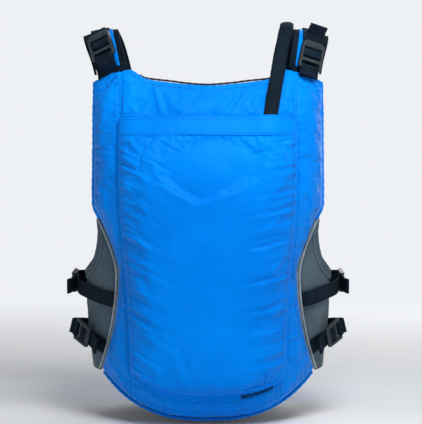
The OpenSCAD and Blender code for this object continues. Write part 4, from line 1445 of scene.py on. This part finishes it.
# ---------------------------------------------------------------- chest pocket, zip and ring
def chest_shell():
    return piece("front_shell_panel", [cloth_slab(chest_sheet, 1.2)], "nylon", "shell", "front_shell")


def chest_pocket():
    low, high, wide = CHEST_POCKET_LOW, CHEST_POCKET_TOP, CHEST_POCKET_W
    corners = [(-wide, low), (wide, low), (wide, high), (-wide, high), (-wide, low)]
    parts = [cloth_slab(chest_pocket_sheet, 1.0)]
    for (x0, z0), (x1, z1) in zip(corners, corners[1:]):
        x, z = np.linspace(x0, x1, 30), np.linspace(z0, z1, 30)
        line = skin(x, z, chest_pocket_h(x, z) + 0.5, -1)
        parts.append(edge_tube(line, (0, 1, 0.1), 1.5, 1.3, 8, 52))
    return piece("front_pocket_panel", parts, "pocket_nylon", "shell", "front_pocket")


def zip_axis_y():
    return skin(0, ZIP_Z, chest_pocket_h(0, ZIP_Z) + 1.2, -1)[1] - 2.3 + ZIP_R


def zip_line(radius, z, half_angle, count):
    angle = -90 + np.linspace(-half_angle, half_angle, count)
    return np.stack([radius * cos_d(angle), zip_axis_y() + radius * sin_d(angle), np.full(count, z)], -1)


def zip_tapes():
    parts = []
    for side in (-1, 1):
        line = zip_line(ZIP_R + 0.4, ZIP_Z + side * 5.3, 10.6, 40)
        parts.append(sweep_part(line, (0, 0, 1), strap_profile(10, -0.4, 0.4, 0.3)))
    piece("zip_tape_pair", parts, "webbing", "webbing", "zip_tapes", soft=False)


def zip_coils():
    """Two nylon coils whose turns mesh along the middle."""
    parts = []
    turns, per_turn = 58, 10
    for side in (-1, 1):
        axis = zip_line(ZIP_R + 2.1, ZIP_Z + side * 1.3, 10.1, turns * per_turn + 1)
        phase = 2 * math.pi * np.arange(len(axis)) / per_turn + (math.pi if side > 0 else 0)
        out = unit(axis * (1, 1, 0) - (0, zip_axis_y(), 0))
        line = axis + out * (0.85 * np.sin(phase))[:, None]
        line[:, 2] += 1.05 * np.cos(phase)
        parts.append(sweep_part(line, (1, 0, 0.2), oval_profile(0.34, 0.34, 5)))
    piece("zip_coil_pair", parts, "plastic", "buckle", "zip_coils", soft=False)


SLIDER_REST = 9.2


def slider_spot():
    out = np.array([cos_d(-90 - SLIDER_REST), sin_d(-90 - SLIDER_REST), 0])
    origin = np.array([0, zip_axis_y(), ZIP_Z]) + out * ZIP_R
    return origin, out, np.array([-out[1], out[0], 0]), np.array([0, 0, 1.0])


def standing_plate(outline, low, high):
    """Flat plate whose outline lies along the zip, from low to high off it."""
    points, faces, uv = prism_part(outline, low, high)
    return points[:, [2, 0, 1]], faces, uv


def zip_slider():
    plate = [(-4.5, -2.6), (-2.6, -4), (2.2, -3.4), (4.5, -2.2),
             (4.5, 2.2), (2.2, 3.4), (-2.6, 4), (-4.5, 2.6)]
    parts = [standing_plate(plate, 3.7, 5.0)]
    for side in (-1, 1):
        low, high = (2.8, 4) if side > 0 else (-4, -2.8)
        parts.append(block_part((1.1, -4.4, low), (4.6, 4.4, high)))
        parts.append(block_part((4.6, -1, side * 2.7 - 0.5), (7.6, 1, side * 2.7 + 0.5)))
    parts = [moved(part, slider_spot()) for part in parts]
    piece("zip_slider_body", parts, "grey_plastic", "zip_metal", "zip_slider", body="slider", edge=0.3)


def zip_pull():
    """Pin, cord loop and moulded grip."""
    cord = smooth_line([(6.6, 0.2, 1.3), (6.6, 5, 1.5), (6.6, 12, 1.3), (6.6, 16, 0.6)], 6)
    parts = [rod_part((6.6, 0, -2), (6.6, 0, 2), 0.8, 12)]
    for side in (-1, 1):
        parts.append(sweep_part(cord * (1, 1, side), (1, 0, 0), oval_profile(0.6, 0.6, 8)))
    grip = [(12, -2.2), (13.2, -3.2), (25, -3.5), (27.4, -2.4), (28, 0),
            (27.4, 2.4), (25, 3.5), (13.2, 3.2), (12, 2.2)]
    parts.append(standing_plate(grip, 5.7, 7.5))
    for y in (15, 17.2, 19.4, 21.6, 23.8):
        parts.append(rod_part((7.5, y, -2.6), (7.5, y, 2.6), 0.45, 8))
    parts = [moved(part, slider_spot()) for part in parts]
    piece("zip_pull_grip", parts, "plastic", "cord_pull", "zip_pull", body="pull", edge=0.3)


def ring_loop():
    """Webbing loop sewn to the chest that carries the accessory ring."""
    low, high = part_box("ring_tab")
    x, top = (low.x + high.x) / 2 / MM, high.z / MM
    y, bar_z = (low.y + high.y) / 2 / MM, (low.z / MM) + 3.1
    arc = [(2.5 * sin_d(a), -2.5 * cos_d(a)) for a in range(-90, 91, 20)]
    line = [(-0.7, top - bar_z), (-1.0, 9), (-2.0, 4)] + arc + [(2.0, 4), (1.0, 9), (0.7, top - bar_z)]
    points = smooth_line([(x, y + a, bar_z + b) for a, b in line], 4)
    loop = sweep_part(points, (1, 0, 0), strap_profile(8, -0.6, 0.6))
    piece("ring_loop_webbing", [loop], "webbing", "webbing", "ring_tab")


# ---------------------------------------------------------------- seams
INTO_BACK = np.array([0, -1.0, 0])


def circle_and_cross(tree, x, z):
    """Stitched circle with a cross in it, over the end of a shoulder strap."""
    radius = 9
    turn = np.linspace(0, 360, 41)
    t = np.linspace(-0.7, 0.7, 12) * radius
    runs = [(x + radius * sin_d(turn), z + radius * cos_d(turn)), (x + t, z - t), (x + t, z + t)]
    return rows_on([(tree, over_panel(*run, 1)) for run in runs], INTO_BACK, 2.2, 0.9, 0.4)


def back_stitches(shell, pocket, band):
    """Every row of stitches on the back."""
    on_shell, on_pocket, on_band = tree_of(shell), tree_of(pocket), tree_of(band)
    rows = []

    def upright(tree, side, x_of, low, high, count):
        z = np.linspace(low, high, count)
        rows.append((tree, over_panel(side * x_of(z), z, 1)))

    def level(tree, half, count, z_of):
        x = np.linspace(-half, half, count)
        rows.append((tree, over_panel(x, z_of(x), 1)))

    for side in (-1, 1):
        upright(on_pocket, side, lambda z: seam_x(z) - 4.6, 70, MOUTH_Z - 4, 150)
        upright(on_shell, side, lambda z: seam_x(z) + 4.2, 70, MOUTH_Z - 4, 150)
        upright(on_shell, side, lambda z: seam_x(z) + 1.5, MOUTH_Z + 4, 447, 40)
        upright(on_shell, side, lambda z: seam_x(z) - 1.5 - (z - MOUTH_Z) * 0.1, MOUTH_Z + 2, 416, 20)
        upright(on_shell, side, lambda z: edge_x(z) - 5.5, 74, 430, 130)
    level(on_pocket, 96, 90, lambda x: pocket_low_z(x) + 5)
    level(on_shell, 96, 90, lambda x: pocket_low_z(x) - 11)
    level(on_band, 112, 110, lambda x: MOUTH_Z - BAND_H + 3.2)
    level(on_band, 112, 110, lambda x: MOUTH_Z - 4)
    level(on_shell, 128, 120, lambda x: hem_z(x) + 8)
    level(on_shell, 104, 90, lambda x: top_z(x) - 7)
    parts = rows_on(rows, INTO_BACK)
    for side in (-1, 1):
        parts += circle_and_cross(on_shell, side * (STRAP_X - 1), NECK_Z + 6)
    piece("back_stitching", parts, "blue_thread", "shell", soft=False)


def chest_stitches(shell, pocket):
    on_shell, on_pocket = tree_of(shell), tree_of(pocket)
    low, high, wide = CHEST_POCKET_LOW + 4, CHEST_POCKET_TOP - 4, CHEST_POCKET_W - 4
    rows = []
    for side in (-1, 1):
        z = np.linspace(50, 432, 140)
        rows.append((on_shell, over_panel(side * (front_edge_x(z) - 6), z, -1)))
        rows.append((on_pocket, over_panel(side * wide, np.linspace(low, high, 50), -1)))
        rows.append((on_pocket, over_panel(np.linspace(-70, 70, 50), ZIP_Z + side * 12, -1)))
    for z in (low, high):
        rows.append((on_pocket, over_panel(np.linspace(-86, 86, 60), z, -1)))
    x = np.linspace(-130, 130, 110)
    rows.append((on_shell, over_panel(x, front_low_z(x) + 8, -1)))
    piece("front_stitching", rows_on(rows, -INTO_BACK), "blue_thread", "shell", soft=False)


def side_stitches(panel, side):
    """Twin rows along the armhole and one row inside each seam of the side panel."""
    tree = tree_of(panel)
    runs = [(np.linspace(0.05, 0.95, 60), np.full(60, v)) for v in (0.955, 0.975)]
    runs += [(np.full(60, u), np.linspace(0.04, 0.94, 60)) for u in (0.035, 0.965)]
    parts = []
    for run in runs:
        line = around(*side_spot(*run), 6) * (side, 1, 1)
        parts += rows_on([(tree, line)], -unit(line * (1, 1, 0)), 2.6, 1.4, 0.38)
    piece("side_stitching_" + WORD[side], parts, "grey_thread", "panel", soft=False)


def strap_stitches():
    """Box-and-cross stitching where the shoulder webbing is sewn to the chest."""
    parts = []
    low, high, half = 421, 439, 9
    for side, word in WORD.items():
        strap = tree_of(bpy.data.objects["shoulder_webbing_" + word + "_strap"])
        x = side * (STRAP_X - 4)
        box = [(x - half, low), (x + half, low), (x + half, high), (x - half, high), (x - half, low),
               (x + half, high)]
        for run in (box, [(x + half, low), (x - half, high)]):
            corners = [over_panel(*corner, -1) for corner in run]
            line = np.concatenate([a + (b - a) * np.linspace(0, 1, 10)[:, None]
                                   for a, b in zip(corners, corners[1:])])
            parts += rows_on([(strap, line)], -INTO_BACK, 2.2, 1.0, 0.4)
    piece("strap_stitching", parts, "dark_thread", "webbing", soft=False)


# ---------------------------------------------------------------- the whole vest
def build_vest():
    for word, spot, face in (("back", back_spot, 1), ("front", front_spot, -1)):
        lining(word + "_lining", spot, face)
        foam_slab(word + "_foam", spot, face)
    shell, pocket, band = back_shell(), back_pocket(), mouth_band()
    drain_mesh()
    hem("back_hem", back_spot, 1, "nylon", 0, -3.0, 3.2, 2, 0.985, "shell", 60)
    hem("back_neck", back_spot, 1, "trim", 1, 1.8, 2.4, 1.2, 0.6, "lining", 62)
    hem("front_hem", front_spot, -1, "nylon", 0, -3.0, 3.2, 2, 0.985, "shell", 64)
    hem("front_neck", front_spot, -1, "trim", 1, 2.8, 2.6, 1.6, 0.6, "lining", 66)
    chest, purse = chest_shell(), chest_pocket()
    for side in WORD:
        side_stitches(side_panel(side), side)
        for make in (piping, armhole_edge, shoulder_pad, shoulder_anchor, shoulder_strap):
            make(side)
    side_webbing("side_strap_webbing", side_strap_part, "side_straps")
    side_webbing("side_anchor_webbing", side_anchor_part, "side_anchors")
    for make in (all_buckles, water_bladder, bladder_hanger, hose_sleeve, drinking_tube, bite_valve,
                 hose_keeper, zip_tapes, zip_coils, zip_slider, zip_pull, ring_loop, kept_cad):
        make()
    back_stitches(shell, pocket, band)
    chest_stitches(chest, purse)
    strap_stitches()


# ---------------------------------------------------------------- studio, in metres
BACKDROP = (0.95, 0.97, 1.0, 1)
BACKDROP_STRENGTH = 0.9
WORLD_LIGHT = 0.18
VEST_MIDDLE = Vector((0, 0, 0.25))
LAMPS = [  # name, place, size in metres and power in watts
    ("key", (-0.22, 0.72, 1.12), 0.5, 11.5),
    ("left", (1.9, 1.5, 0.9), 1.2, 5.5),
    ("right", (-2.0, 1.6, 0.8), 1.4, 6.5),
    ("front", (-0.8, -2.4, 1.2), 2, 40),
]


def shown(name, data, place):
    """Object put in the scene at a place, ready to be turned by a quaternion."""
    obj = bpy.data.objects.new(name, data)
    obj.location = place
    obj.rotation_mode = "QUATERNION"
    bpy.context.scene.collection.objects.link(obj)
    return obj


def floor_material():
    """Pale floor that fades into the glow of the backdrop away from the vest."""
    tree, shader = surface("floor", Roughness=0.85, Specular_IOR_Level=0.2)
    where, _ = tinted(tree, shader, "e6e8ea", "edeeef", 3)
    away = node(tree, "VectorMath", {"operation": "LENGTH"})
    link(tree, where, away.inputs[0])
    far = node(tree, "MapRange", {"interpolation_type": "SMOOTHSTEP"}, Value=away.outputs["Value"],
               From_Min=0.35, From_Max=2.4)
    glow = node(tree, "Emission", Color=BACKDROP, Strength=BACKDROP_STRENGTH)
    blend = node(tree, "MixShader")
    for made, output, socket in ((far, "Result", 0), (shader, "BSDF", 1), (glow, "Emission", 2)):
        link(tree, made.outputs[output], blend.inputs[socket])
    link(tree, blend.outputs["Shader"], tree.nodes["Material Output"].inputs["Surface"])
    return materials["floor"]


def studio():
    """Floor and backdrop, soft light and the camera behind the vest."""
    half, floor_z = 30, cad_low.z - 0.004
    mesh = bpy.data.meshes.new("floor")
    corners = [(-half, half), (half, half), (half, -half), (-half, -half)]
    mesh.from_pydata([(x, y, floor_z) for x, y in corners], [], [(3, 2, 1, 0)])
    mesh.materials.append(floor_material())
    shown("floor", mesh, (0, 0, 0))

    world = bpy.data.worlds.new("studio")
    world.use_nodes = True
    tree = world.node_tree
    back = tree.nodes["Background"]
    seen = node(tree, "LightPath").outputs["Is Camera Ray"]
    strength = node(tree, "MapRange", Value=seen, To_Min=WORLD_LIGHT, To_Max=BACKDROP_STRENGTH)
    link(tree, strength.outputs["Result"], back.inputs["Strength"])
    back.inputs["Color"].default_value = BACKDROP
    bpy.context.scene.world = world

    for name, place, size, power in LAMPS:
        lamp = bpy.data.lights.new(name, "AREA")
        lamp.energy, lamp.size = power, size
        light = shown(name, lamp, place)
        light.visible_camera = False
        light.rotation_quaternion = (Vector(place) - VEST_MIDDLE).to_track_quat("Z", "Y")

    lens = bpy.data.cameras.new("camera")
    lens.lens, lens.sensor_width = 111, 36
    lens.clip_start, lens.clip_end = 0.05, 50
    camera = shown("camera", lens, (-0.004, 1.8, 0.265))
    camera.rotation_quaternion = Vector((0, 1, 0)).to_track_quat("Z", "Y")
    bpy.context.scene.camera = camera
    bpy.context.scene.view_settings.view_transform = "Standard"


build_vest()
studio()
